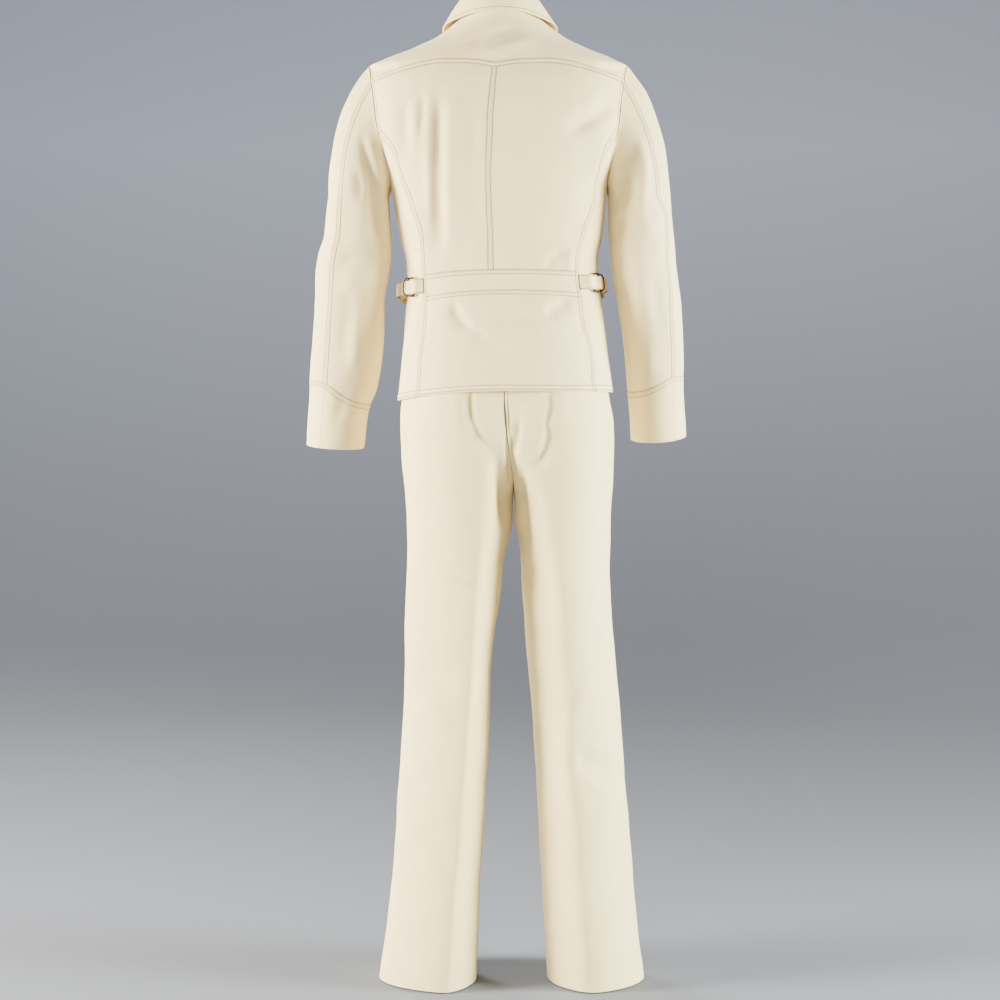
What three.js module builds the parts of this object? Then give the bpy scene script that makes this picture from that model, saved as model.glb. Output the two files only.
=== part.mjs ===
// A western suit, worn as a hollow form: a shirt-style jacket with a scalloped back yoke, a set-in back belt,
// ring tabs at the sides, two-piece sleeves with pointed cuffs and a long-leaf collar, over straight flared
// trousers with pressed creases.
//
// Frame: millimetres, +Z up, the garment's front faces -Y and its wearer's left is +X. The origin is the middle
// of the neck, level with the shoulder seams' inner ends, where the wearer's neck and shoulders carry it.

import * as THREE from 'three';

// ---------------------------------------------------------------------------------------------------------
// Driving dimensions
// ---------------------------------------------------------------------------------------------------------

const WALL = 1.6; // one panel of cloth with its seam allowances
const DOUBLE_WALL = 2.2; // tabs, straps, cuffs and collar, two plies
const SEAM_INSET = 0.2; // each panel stops this far short of its seam line

const HEM_LEVEL = -646;
const BELT_TOP = -448;
const BELT_BOTTOM = -482;
const BELT_SIDE = { top: -451.5, bottom: -487 }; // where the belt meets the side back seams
const YOKE_POINT = -117.5; // the yoke's lower edge at the middle of the back
const NECK_SIDE = 2;
const NECK_BACK_RISE = 6;
const NECK_FRONT_DROP = 74;

const ARMHOLE = { middle: -200, reach: 103, back: 21.5, front: 28, round: 0.85 };
const YOKE_END = 50.5; // degrees round the armhole from the shoulder point
const SIDE_BACK_START = 94;
const SIDE_SEAM_START = 206.3;
const SIDE_SEAM_TURN = -14;

const LAP = 14; // how far each front passes the middle
const LAP_DROP = 2.3; // the under front lies this far inside
const BUTTON = { radius: 9, thick: 3, gap: 0.7, count: 5, first: -112, pitch: -105, waistGap: 1.2 };

// The stand ends this many degrees from the middle of the back.
const STAND = { back: 35, front: 25, lean: 0.19, end: 179.8, gap: 0.7 };
const LEAF = { out: 2.9, up: 1.2, bulge: 2.5, clear: 5.5 };

const CAP_END = -322; // the sleeve's first full ring
const CUFF_PEAK = -627;
const SLEEVE_END = -729;
const ARM_HANG = 7.5; // the left sleeve ends this much lower than the middle, the right this much higher
const SLEEVE_START = { lift: 0.7, ahead: 0.7 }; // how far the sleeve starts off the armhole, out and down

const STRAP_HALF = 11.3; // half the width of the straps
const TAB_HALF = 13; // and of the belt ends that hold the rings
const TAB_LEVEL = -465.5;
const RING = { wire: 1.3, halfHeight: 15, depth: 24, square: 0.5 };
const RINGS = [
  { name: 'upper', turn: 27.7, lift: 7.9, tilt: 5 },
  { name: 'lower', turn: 26.4, lift: 5, tilt: -7 },
]; // tilt: degrees that the ring's plane leans away from the body

const WAIST_LEVEL = -549;
const WAISTBAND_TOP = -511;
const CROTCH_LEVEL = -818;
const LEG_END = -1627;
const LEG_GAP = 0.3; // each leg stops this far from the seat and rise seam

const CLOTH = { color: 0xece3cf, roughness: 0.86, metalness: 0 };
const BRASS = { color: 0x5a4a2c, roughness: 0.45, metalness: 0.85 };
const HORN = { color: 0xd8cbb0, roughness: 0.4, metalness: 0 };

// Level cuts through the jacket body. `half` is half the width, `back` and `front` the depth each way, `square`
// how boxy the cut is (2 is an ellipse), `shift` the sideways lean, `sag` how far the wearer's left side hangs.
const BODY_CUTS = [
  { z: -665, half: 182.5, back: 122, front: 116, square: 2.3, shift: -14, sag: 12 },
  { z: -625, half: 178, back: 119, front: 114, square: 2.3, shift: -13.5, sag: 12 },
  { z: -558, half: 170.5, back: 109, front: 108, square: 2.3, shift: -13, sag: 10.5 },
  { z: -490, half: 163.5, back: 97, front: 105, square: 2.25, shift: -12.5, sag: 9.5 },
  { z: -462, half: 160, back: 94, front: 104, square: 2.25, shift: -11, sag: 9 },
  { z: -423, half: 161, back: 97, front: 107, square: 2.25, shift: -9.2, sag: 7 },
  { z: -390, half: 168, back: 103, front: 111, square: 2.25, shift: -8, sag: 4 },
  { z: -356, half: 174, back: 109, front: 116, square: 2.3, shift: -5.8, sag: 2 },
  { z: -300, half: 182, back: 116, front: 119, square: 2.35, shift: -4, sag: 0 },
  { z: -256, half: 197, back: 119, front: 118, square: 2.45, shift: -2.8, sag: 0 },
  { z: -221, half: 208, back: 119, front: 115, square: 2.5, shift: -2, sag: 0 },
  { z: -187, half: 214, back: 117, front: 110, square: 2.5, shift: -1, sag: 0 },
  { z: -135, half: 217, back: 108, front: 98, square: 2.35, shift: -0.6, sag: 0 },
  { z: -101, half: 217, back: 96, front: 86, square: 2.1, shift: -1.5, sag: 0 },
  { z: -92, half: 201, back: 93, front: 83, square: 2.05, shift: -2, sag: 0 },
  { z: -72, half: 152, back: 85, front: 76, square: 2, shift: -3.5, sag: 0 },
  { z: -51, half: 108, back: 76, front: 69, square: 2, shift: -5, sag: 0 },
  { z: -28, half: 77, back: 67, front: 64, square: 2, shift: -5, sag: 0 },
  { z: -10, half: 60, back: 63, front: 61, square: 2, shift: -4.5, sag: 0 },
  { z: 10, half: 51, back: 60, front: 57, square: 2, shift: -4, sag: 0 },
];

// The centre back seam and the two side back seams: sideways distance from the middle of the cut.
const BACK_SEAMS = [
  { z: -665, centre: 20, left: 147, right: 147 },
  { z: -632, centre: 20, left: 143, right: 145 },
  { z: -575, centre: 20, left: 138, right: 141 },
  { z: -527, centre: 20, left: 132, right: 128 },
  { z: -467, centre: 20, left: 130, right: 122 },
  { z: -438, centre: 20, left: 130, right: 120 },
  { z: -386, centre: 19, left: 131, right: 134 },
  { z: -332, centre: 18.4, left: 146, right: 155 },
  { z: -290, centre: 17.9, left: 162, right: 162 },
  { z: -245, centre: 15, left: 175, right: 175 },
  { z: -205, centre: 12.8, left: 200, right: 200 },
  { z: -117, centre: 4.8, left: 206, right: 206 },
];

// The yoke's lower edge over one half of the back: share of the way from the middle to the armhole.
const YOKE_EDGE = [
  { share: 0, z: -117.5 },
  { share: 0.17, z: -112 },
  { share: 0.3, z: -110.2 },
  { share: 0.41, z: -109.4 },
  { share: 0.53, z: -111 },
  { share: 0.66, z: -116 },
  { share: 0.79, z: -122.3 },
  { share: 0.91, z: -129 },
  { share: 1, z: -134.5 },
];

// The collar leaf's outer edge, from the centre back to the point: where it lies on the body, and its lift.
const LEAF_EDGE = [
  { share: 0, turn: 90, z: -17, lift: 5 },
  { share: 0.15, turn: 60, z: -20, lift: 5 },
  { share: 0.3, turn: 32, z: -29, lift: 6.8 },
  { share: 0.42, turn: 9, z: -37, lift: 8.4 },
  { share: 0.53, turn: -16, z: -43, lift: 8.6 },
  { share: 0.65, turn: -38, z: -57, lift: 6.6 },
  { share: 0.77, turn: -56, z: -80, lift: 5 },
  { share: 0.88, turn: -67, z: -112, lift: 5 },
  { share: 1, turn: -74, z: -150, lift: 5 },
];

// Cuts across each sleeve, square to the arm: the middle, the half width sideways and the girth.
const ARM_CUTS = [
  { z: -322, leftX: 232, leftHalf: 50.4, rightX: -238.5, rightHalf: 52, y: 0, girth: 368 },
  { z: -390, leftX: 233.6, leftHalf: 57, rightX: -243, rightHalf: 54, y: 2, girth: 358 },
  { z: -440, leftX: 242.8, leftHalf: 60.5, rightX: -247, rightHalf: 54.5, y: 3, girth: 350 },
  { z: -490, leftX: 247, leftHalf: 57.5, rightX: -254.5, rightHalf: 52.5, y: 2, girth: 340 },
  { z: -558, leftX: 249.5, leftHalf: 59.5, rightX: -263, rightHalf: 49.6, y: -6, girth: 326 },
  { z: -625, leftX: 258.8, leftHalf: 57, rightX: -267, rightHalf: 48, y: -16, girth: 310 },
  { z: -660, leftX: 266, leftHalf: 51.5, rightX: -269, rightHalf: 47.5, y: -22, girth: 298 },
  { z: -740, leftX: 275, leftHalf: 48, rightX: -275, rightHalf: 46, y: -38, girth: 288 },
];

// Where the two sleeve seams run, in degrees round the arm from its outermost line by way of the back.
const ARM_SEAMS = [
  { z: -97, left: 50.5, right: 50.5, under: 206.3 },
  { z: -210, left: 56, right: 55, under: 206.3 },
  { z: -322, left: 60, right: 58, under: 207 },
  { z: -355, left: 60, right: 42, under: 208 },
  { z: -415, left: 60, right: 45, under: 209 },
  { z: -490, left: 59, right: 49, under: 210 },
  { z: -560, left: 57, right: 55, under: 210 },
  { z: -640, left: 62, right: 56, under: 210 },
  { z: -740, left: 68, right: 55, under: 210 },
];

// Cuts across the trousers: depth back and front, how sharp the pressed creases are, and for each leg the outer
// and inner line and the two creases, sideways from the middle of the neck.
const LEG_CUTS = [
  { z: -1627, back: 103, front: 101, crease: 0.5,
    leftOuter: 197, leftInner: 33, leftBack: 84, leftFront: 140,
    rightOuter: -246, rightInner: -83, rightBack: -156, rightFront: -170 },
  { z: -1499, back: 98, front: 96, crease: 0.5,
    leftOuter: 180, leftInner: 30, leftBack: 75, leftFront: 129,
    rightOuter: -232, rightInner: -77, rightBack: -145, rightFront: -158 },
  { z: -1331, back: 91, front: 90, crease: 0.5,
    leftOuter: 166.5, leftInner: 18.5, leftBack: 61, leftFront: 118,
    rightOuter: -218, rightInner: -67, rightBack: -133, rightFront: -146 },
  { z: -1163, back: 87, front: 87, crease: 0.5,
    leftOuter: 156.5, leftInner: 11.5, leftBack: 47.5, leftFront: 113,
    rightOuter: -205, rightInner: -58, rightBack: -123, rightFront: -136 },
  { z: -1079, back: 88, front: 88, crease: 0.45,
    leftOuter: 154.6, leftInner: 7.5, leftBack: 42.5, leftFront: 112,
    rightOuter: -197, rightInner: -48.5, rightBack: -119, rightFront: -127 },
  { z: -995, back: 92, front: 91, crease: 0.35,
    leftOuter: 152.9, leftInner: -5, leftBack: 38.5, leftFront: 106,
    rightOuter: -191.5, rightInner: -43.6, rightBack: -112, rightFront: -119 },
  { z: -927, back: 97.5, front: 95, crease: 0.25,
    leftOuter: 151, leftInner: -11, leftBack: 34, leftFront: 100,
    rightOuter: -189, rightInner: -40, rightBack: -105, rightFront: -114 },
  { z: -894, back: 101, front: 97, crease: 0.2,
    leftOuter: 151, leftInner: -19.5, leftBack: 33, leftFront: 96,
    rightOuter: -189.5, rightInner: -37, rightBack: -102, rightFront: -111.5 },
  { z: -862, back: 104.5, front: 98.5, crease: 0.15,
    leftOuter: 151, leftInner: -26.6, leftBack: 32, leftFront: 92,
    rightOuter: -190, rightInner: -28.8, rightBack: -99, rightFront: -109 },
  { z: -818, back: 110, front: 100.5, crease: 0.05,
    leftOuter: 154, leftInner: -27.7, leftBack: 33, leftFront: 82,
    rightOuter: -192.5, rightInner: -27.7, rightBack: -96, rightFront: -105 },
  { z: -795, back: 113, front: 102, crease: 0,
    leftOuter: 156, leftInner: -27, leftBack: 35, leftFront: 76,
    rightOuter: -195, rightInner: -27, rightBack: -95, rightFront: -100 },
  { z: -750, back: 116, front: 103.5, crease: 0,
    leftOuter: 160, leftInner: -20, leftBack: 40, leftFront: 68,
    rightOuter: -196.5, rightInner: -20, rightBack: -91, rightFront: -94 },
  { z: -700, back: 115.5, front: 104, crease: 0,
    leftOuter: 161.5, leftInner: -14.5, leftBack: 45, leftFront: 60,
    rightOuter: -196, rightInner: -14.5, rightBack: -86, rightFront: -89 },
  { z: -655, back: 111.5, front: 101.5, crease: 0,
    leftOuter: 159.5, leftInner: -12, leftBack: 47, leftFront: 54,
    rightOuter: -188.5, rightInner: -12, rightBack: -80, rightFront: -83 },
  { z: -600, back: 99, front: 96, crease: 0,
    leftOuter: 148, leftInner: -12, leftBack: 44, leftFront: 48,
    rightOuter: -176, rightInner: -12, rightBack: -72, rightFront: -74 },
  { z: -549, back: 92, front: 96, crease: 0,
    leftOuter: 138, leftInner: -12, leftBack: 38, leftFront: 40,
    rightOuter: -162, rightInner: -12, rightBack: -63, rightFront: -65 },
  { z: -505, back: 86, front: 93, crease: 0,
    leftOuter: 135, leftInner: -12, leftBack: 36, leftFront: 38,
    rightOuter: -158, rightInner: -12, rightBack: -60, rightFront: -62 },
];

// The seat and rise seam: for a cut that starts at `level` on the side seam, where it meets the seam.
const RISE_SEAM = [
  { level: -818, seatY: 0, seatZ: -818, riseY: 0, riseZ: -818 },
  { level: -815, seatY: 17, seatZ: -815, riseY: -30, riseZ: -814 },
  { level: -808, seatY: 36, seatZ: -807, riseY: -54, riseZ: -806 },
  { level: -795, seatY: 58, seatZ: -793, riseY: -74, riseZ: -792 },
  { level: -775, seatY: 82, seatZ: -773, riseY: -89, riseZ: -772 },
  { level: -752, seatY: 99, seatZ: -751, riseY: -97, riseZ: -750 },
  { level: -716, seatY: 110, seatZ: -715, riseY: -102.5, riseZ: -715 },
  { level: -655, seatY: 110, seatZ: -655, riseY: -100.5, riseZ: -655 },
  { level: -600, seatY: 98, seatZ: -600, riseY: -95, riseZ: -600 },
  { level: -549, seatY: 91.5, seatZ: -549, riseY: -95.5, riseZ: -549 },
  { level: -505, seatY: 85.5, seatZ: -505, riseY: -92.5, riseZ: -505 },
];

// The cuff seam: how far it lies below its peak, by degrees round the arm.
const CUFF_EDGE = [
  { round: -150, drop: 28 },
  { round: -100, drop: 16 },
  { round: -50, drop: 6 },
  { round: 0, drop: 4 },
  { round: 57, drop: 0 },
  { round: 90, drop: 12 },
  { round: 120, drop: 21 },
  { round: 180, drop: 27.5 },
  { round: 210, drop: 28 },
];

// The strap's run round the flank, from the front through the rings and back to its free end: the place round
// the body, how far its ring-side face stands off on each side of the body, and how far it hangs.
const STRAP_RUN = [
  { share: 0, turn: -42, left: 3.2, right: 3.2, drop: 14 },
  { share: 0.12, turn: -28, left: 8, right: 5, drop: 13 },
  { share: 0.24, turn: -12, left: 13, right: 7.5, drop: 11 },
  { share: 0.34, turn: 2, left: 10, right: 5.5, drop: 6 },
  { share: 0.42, turn: 11, left: 3.5, right: 3.5, drop: 1 },
  { share: 0.47, turn: 18.5, left: 3.4, right: 3.4, drop: 0 },
  { share: 0.487, turn: 21, left: 4.1, right: 4.1, drop: 0 },
  { share: 0.5, turn: 21.7, left: 5.5, right: 5.5, drop: 0 },
  { share: 0.513, turn: 21, left: 6.9, right: 6.9, drop: 0 },
  { share: 0.53, turn: 18.5, left: 7.6, right: 7.6, drop: 0 },
  { share: 0.6, turn: 11, left: 8, right: 7.8, drop: 0 },
  { share: 0.69, turn: 2, left: 15, right: 10.5, drop: 1 },
  { share: 0.8, turn: -9, left: 20.5, right: 13.5, drop: 3 },
  { share: 0.9, turn: -19, left: 20.5, right: 13, drop: 5 },
  { share: 1, turn: -28, left: 17, right: 11, drop: 7 },
];

// The belt end's run, from the side back seam over the ring bars and back beneath them: the place round the
// body, and how far its outside stands off. Ahead of its seam end it keeps the same turns on both sides.
const TAB_RUN = [
  { share: 0, turn: 37, lift: 2.1 },
  { share: 0.2, turn: 34, lift: 6 },
  { share: 0.4, turn: 30, lift: 10.9 },
  { share: 0.52, turn: 26.5, lift: 10.9 },
  { share: 0.62, turn: 24.3, lift: 9.2 },
  { share: 0.69, turn: 23.6, lift: 5.2 },
  { share: 0.76, turn: 24.3, lift: 2 },
  { share: 0.84, turn: 26.5, lift: 1.1 },
  { share: 1, turn: 31.5, lift: 1.1 },
];

// ---------------------------------------------------------------------------------------------------------
// Small tools
// ---------------------------------------------------------------------------------------------------------

const radians = THREE.MathUtils.degToRad;
const degrees = THREE.MathUtils.radToDeg;
const mix = THREE.MathUtils.lerp;
const signedPower = (value, power) => Math.sign(value) * Math.abs(value) ** power;

/** A smooth curve through one named column of a table, which never passes its own rows' values. */
function through(table, key, name) {
  const rows = [...table].sort((a, b) => a[key] - b[key]);
  const at = rows.map((row) => row[key]);
  const value = rows.map((row) => row[name]);
  const last = rows.length - 1;
  const rise = (i) => (value[i + 1] - value[i]) / (at[i + 1] - at[i]);
  const slopes = at.map((_, i) => {
    if (i === 0) return rise(0);
    if (i === last) return rise(last - 1);
    const before = rise(i - 1);
    const after = rise(i);
    return before * after <= 0 ? 0 : (2 * before * after) / (before + after);
  });
  return (x) => {
    const place = Math.min(Math.max(x, at[0]), at[last]);
    let i = 0;
    while (i < last - 1 && place > at[i + 1]) i += 1;
    const span = at[i + 1] - at[i];
    const t = (place - at[i]) / span;
    const start = value[i] * (1 + 2 * t) * (1 - t) ** 2 + slopes[i] * span * t * (1 - t) ** 2;
    const end = value[i + 1] * t * t * (3 - 2 * t) + slopes[i + 1] * span * t * t * (t - 1);
    return start + end;
  };
}

/** Curves through every column of a table, by name. */
function columns(table, key) {
  const names = Object.keys(table[0]).filter((name) => name !== key);
  return Object.fromEntries(names.map((name) => [name, through(table, key, name)]));
}

/** `count` + 1 values of a function over 0 to 1. */
const steps = (count, of) => Array.from({ length: count + 1 }, (_, i) => of(i / count));

/** Several runs of points end to end, each starting where the last one stops. */
const joined = (...runs) => runs.flatMap((run, i) => (i === 0 ? run : run.slice(1)));

/**
 * A grid that fills four edges. Bottom and top run left to right, left and right run bottom to top. `shares`
 * places the columns between the left and right edges.
 */
function fill(bottom, top, left, right, shares = null) {
  const across = bottom.length - 1;
  const up = left.length - 1;
  return left.map((leftPoint, j) => bottom.map((bottomPoint, i) => {
    const u = shares ? shares[i] : i / across;
    const v = j / up;
    return leftPoint.map((_, k) => (
      mix(bottomPoint[k], top[i][k], v) + mix(leftPoint[k], right[j][k], u)
      - mix(mix(bottom[0][k], bottom[across][k], u), mix(top[0][k], top[across][k], u), v)));
  }));
}

/** The points of a grid, each moved off the edge it lies on, square to that edge. */
function insetGrid(grid, amount) {
  const up = grid.length - 1;
  const across = grid[0].length - 1;
  const moved = grid.map((row) => row.map((point) => point.clone()));
  const pull = (j, i, dj, di) => {
    const point = grid[j][i];
    const inward = grid[j + dj][i + di].clone().sub(point);
    const before = grid[Math.max(j - Math.abs(di), 0)][Math.max(i - Math.abs(dj), 0)];
    const after = grid[Math.min(j + Math.abs(di), up)][Math.min(i + Math.abs(dj), across)];
    const along = after.clone().sub(before).normalize();
    inward.addScaledVector(along, -inward.dot(along)).normalize();
    moved[j][i].addScaledVector(inward, amount);
  };
  for (let i = 0; i <= across; i += 1) {
    pull(0, i, 1, 0);
    pull(up, i, -1, 0);
  }
  for (let j = 0; j <= up; j += 1) {
    pull(j, 0, 0, 1);
    pull(j, across, 0, -1);
  }
  return moved;
}

/** Unit normals of a grid of points, on the side that its left-to-right and upward steps turn about. */
function gridNormals(grid) {
  const up = grid.length - 1;
  const across = grid[0].length - 1;
  return grid.map((row, j) => row.map((_, i) => {
    const alongRow = row[Math.min(i + 1, across)].clone().sub(row[Math.max(i - 1, 0)]);
    const upward = grid[Math.min(j + 1, up)][i].clone().sub(grid[Math.max(j - 1, 0)][i]);
    return alongRow.cross(upward).normalize();
  }));
}

/** The closed solid between an outer grid and an inner grid. */
function solidBetween(outer, inner) {
  const up = outer.length;
  const across = outer[0].length;
  const positions = [...outer.flat(), ...inner.flat()].flatMap((point) => point.toArray());
  const index = [];
  const outerAt = (j, i) => j * across + i;
  const innerAt = (j, i) => up * across + outerAt(j, i);
  const quad = (a, b, c, d) => index.push(a, b, c, a, c, d);
  for (let j = 0; j < up - 1; j += 1) {
    for (let i = 0; i < across - 1; i += 1) {
      quad(outerAt(j, i), outerAt(j, i + 1), outerAt(j + 1, i + 1), outerAt(j + 1, i));
      quad(innerAt(j, i), innerAt(j + 1, i), innerAt(j + 1, i + 1), innerAt(j, i + 1));
    }
  }
  for (let i = 0; i < across - 1; i += 1) {
    quad(outerAt(0, i), innerAt(0, i), innerAt(0, i + 1), outerAt(0, i + 1));
    quad(outerAt(up - 1, i), outerAt(up - 1, i + 1), innerAt(up - 1, i + 1), innerAt(up - 1, i));
  }
  for (let j = 0; j < up - 1; j += 1) {
    quad(outerAt(j, 0), outerAt(j + 1, 0), innerAt(j + 1, 0), innerAt(j, 0));
    quad(outerAt(j, across - 1), innerAt(j, across - 1), innerAt(j + 1, across - 1), outerAt(j + 1, across - 1));
  }
  const geometry = new THREE.BufferGeometry();
  geometry.setAttribute('position', new THREE.Float32BufferAttribute(positions, 3));
  geometry.setIndex(index);
  geometry.computeVertexNormals();
  return geometry;
}

/** A wall of cloth whose outer face is a grid of points, set in at its seams. */
function clothWall(grid, { normals = null, wall = WALL, inset = SEAM_INSET } = {}) {
  const outer = insetGrid(grid, inset);
  const facing = normals ?? gridNormals(outer);
  const inner = outer.map((row, j) => (
    row.map((point, i) => point.clone().addScaledVector(facing[j][i], -wall))));
  return solidBetween(outer, inner);
}

/** The way out of a surface at a place on it, by a small step each way round it. */
function surfaceNormal(surface, [round, level]) {
  const across = surface([round + 0.5, level]).sub(surface([round - 0.5, level]));
  const upward = surface([round, level + 0.5]).sub(surface([round, level - 0.5]));
  return across.cross(upward).normalize();
}

/** A panel of cloth over a grid of places on a surface. A mirrored surface needs its rows turned round. */
function panel(surface, places, { flip = false, wall = WALL } = {}) {
  const facing = flip ? places.map((row) => [...row].reverse()) : places;
  const grid = facing.map((row) => row.map((place) => surface(place)));
  const turn = flip ? -1 : 1;
  const normals = facing.map((row) => row.map((place) => surfaceNormal(surface, place).multiplyScalar(turn)));
  return clothWall(grid, { normals, wall });
}

/** A round wire bent through a closed run of points. */
function wireRing(path, radius, sides = 6) {
  const count = path.length;
  const normal = path[0].clone().sub(path[Math.floor(count / 3)])
    .cross(path[Math.floor((2 * count) / 3)].clone().sub(path[0])).normalize();
  const positions = [];
  const index = [];
  path.forEach((point, i) => {
    const along = path[(i + 1) % count].clone().sub(path[(i + count - 1) % count]).normalize();
    const side = along.clone().cross(normal).normalize();
    const lift = side.clone().cross(along);
    for (let k = 0; k < sides; k += 1) {
      const angle = (2 * Math.PI * k) / sides;
      const place = point.clone().addScaledVector(side, radius * Math.cos(angle));
      positions.push(...place.addScaledVector(lift, radius * Math.sin(angle)).toArray());
      const next = (i + 1) % count;
      const turn = (k + 1) % sides;
      index.push(i * sides + k, next * sides + k, next * sides + turn);
      index.push(i * sides + k, next * sides + turn, i * sides + turn);
    }
  });
  const geometry = new THREE.BufferGeometry();
  geometry.setAttribute('position', new THREE.Float32BufferAttribute(positions, 3));
  geometry.setIndex(index);
  geometry.computeVertexNormals();
  return geometry;
}

const suit = new THREE.Group();

/** Adds one named piece to the suit. */
function add(name, geometry, material) {
  const mesh = new THREE.Mesh(geometry, new THREE.MeshStandardMaterial(material));
  mesh.name = name;
  suit.add(mesh);
}

// ---------------------------------------------------------------------------------------------------------
// The jacket body's surface. `turn` is in degrees: 0 the wearer's left flank, 90 the back, 180 the right
// flank and -90 or 270 the front.
// ---------------------------------------------------------------------------------------------------------

const body = columns(BODY_CUTS, 'z');
const backSeam = columns(BACK_SEAMS, 'z');
const yokeEdge = columns(YOKE_EDGE, 'share');
const leafEdge = columns(LEAF_EDGE, 'share');

function bodyPoint([turn, z]) {
  const angle = radians(turn);
  const depth = Math.sin(angle) < 0 ? body.front(z) : body.back(z);
  const power = 2 / body.square(z);
  const x = body.half(z) * signedPower(Math.cos(angle), power);
  const hang = body.sag(z) * (Math.max(x, 0) / 170) ** 2;
  return new THREE.Vector3(body.shift(z) + x, depth * signedPower(Math.sin(angle), power), z - hang);
}

/** A place on the body surface, moved out from it. */
const lifted = (place, lift) => bodyPoint(place).addScaledVector(surfaceNormal(bodyPoint, place), lift);

/** The turn at which the cut at height z has the sideways distance x, on the back. */
function turnAt(x, z) {
  const share = Math.min(Math.max(x / body.half(z), -1), 1);
  return degrees(Math.acos(signedPower(share, body.square(z) / 2)));
}

/** A turn given from one side's flank, as a turn round the whole body. */
const fromSide = (side, turn) => (side > 0 ? turn : 180 - turn);

/** A place on the armhole of one side: degrees from the shoulder point, down the back and up the front. */
function armholePlace(side, round) {
  const angle = radians(round);
  const reach = Math.sin(angle) >= 0 ? ARMHOLE.back : ARMHOLE.front;
  const turn = reach * signedPower(Math.sin(angle), ARMHOLE.round);
  return [fromSide(side, turn), ARMHOLE.middle + ARMHOLE.reach * Math.cos(angle)];
}

const armhole = (side, from, to, count) => steps(count, (t) => armholePlace(side, mix(from, to, t)));

const centreBack = (z) => [turnAt(backSeam.centre(z), z), z];
const sideBack = (side, z) => [turnAt(side > 0 ? backSeam.left(z) : -backSeam.right(z), z), z];
const neckLevel = (turn) => {
  const rise = Math.sin(radians(turn));
  return rise >= 0 ? NECK_SIDE + NECK_BACK_RISE * rise : NECK_SIDE - NECK_FRONT_DROP * (-rise) ** 2.2;
};
const neckPlace = (turn) => [turn, neckLevel(turn)];

/** The yoke's lower edge on one side, 0 at the middle and 1 at the armhole. */
function yokePlace(side, share) {
  const [turn, z] = armholePlace(side, YOKE_END);
  const end = body.half(z) * signedPower(Math.cos(radians(turn)), 2 / body.square(z));
  const level = yokeEdge.z(share);
  const x = mix(backSeam.centre(YOKE_POINT), end, share);
  return share === 1 ? [turn, z] : [turnAt(x, level), level];
}

const beltTop = (turn) => BELT_TOP - 3.5 * Math.cos(radians(turn)) ** 2;
const beltBottom = (turn) => BELT_BOTTOM - 6 * Math.cos(radians(turn)) ** 2;

/** A seam down the back between two heights. */
const seamRun = (seam, from, to, count) => steps(count, (t) => seam(mix(from, to, t)));

const BACK_COLUMNS = 7;
const SHOULDER_COLUMNS = 3;
const YOKE_ROWS = 3;
const BACK_ROWS = { armhole: 3, body: 4, belt: 2, skirt: 3 };

const beltTopLeft = sideBack(1, BELT_SIDE.top);
const beltTopRight = sideBack(-1, BELT_SIDE.top);
const beltBottomLeft = sideBack(1, BELT_SIDE.bottom);
const beltBottomRight = sideBack(-1, BELT_SIDE.bottom);

/** A run round the body at a height that depends on the turn. */
const roundRun = (from, to, count, level) => steps(count, (t) => {
  const turn = mix(from, to, t);
  return [turn, level(turn)];
});

const beltTopRun = joined(
  roundRun(beltTopLeft[0], centreBack(BELT_TOP)[0], BACK_COLUMNS, beltTop),
  roundRun(centreBack(BELT_TOP)[0], beltTopRight[0], BACK_COLUMNS, beltTop),
);
const beltBottomRun = joined(
  roundRun(beltBottomLeft[0], centreBack(BELT_BOTTOM)[0], BACK_COLUMNS, beltBottom),
  roundRun(centreBack(BELT_BOTTOM)[0], beltBottomRight[0], BACK_COLUMNS, beltBottom),
);

/** The side back seam of one side, from the belt's foot or top up to the armhole. */
const sideBackUpper = (side) => {
  const foot = (side > 0 ? beltTopRun[0] : beltTopRun.at(-1))[1];
  const start = armholePlace(side, SIDE_BACK_START);
  const run = seamRun((z) => sideBack(side, z), foot, start[1], BACK_ROWS.body);
  run[run.length - 1] = start;
  return run;
};
const sideBackBelt = (side) => {
  const foot = side > 0 ? beltBottomRun[0] : beltBottomRun.at(-1);
  const head = side > 0 ? beltTopRun[0] : beltTopRun.at(-1);
  return steps(BACK_ROWS.belt, (t) => [mix(foot[0], head[0], t), mix(foot[1], head[1], t)]);
};
const sideBackSkirt = (side) => {
  const head = (side > 0 ? beltBottomRun[0] : beltBottomRun.at(-1))[1];
  return seamRun((z) => sideBack(side, z), HEM_LEVEL, head, BACK_ROWS.skirt);
};

/** The turns of the yoke's neck edge. */
const backNeck = steps(2 * (BACK_COLUMNS - SHOULDER_COLUMNS), (t) => 180 * t);

/** The shoulder seam of one side, from the neck to the shoulder point. */
const shoulderSeam = (side) => {
  const tip = ARMHOLE.middle + ARMHOLE.reach;
  return steps(SHOULDER_COLUMNS, (t) => [fromSide(side, 0), mix(NECK_SIDE, tip, t)]);
};

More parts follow.
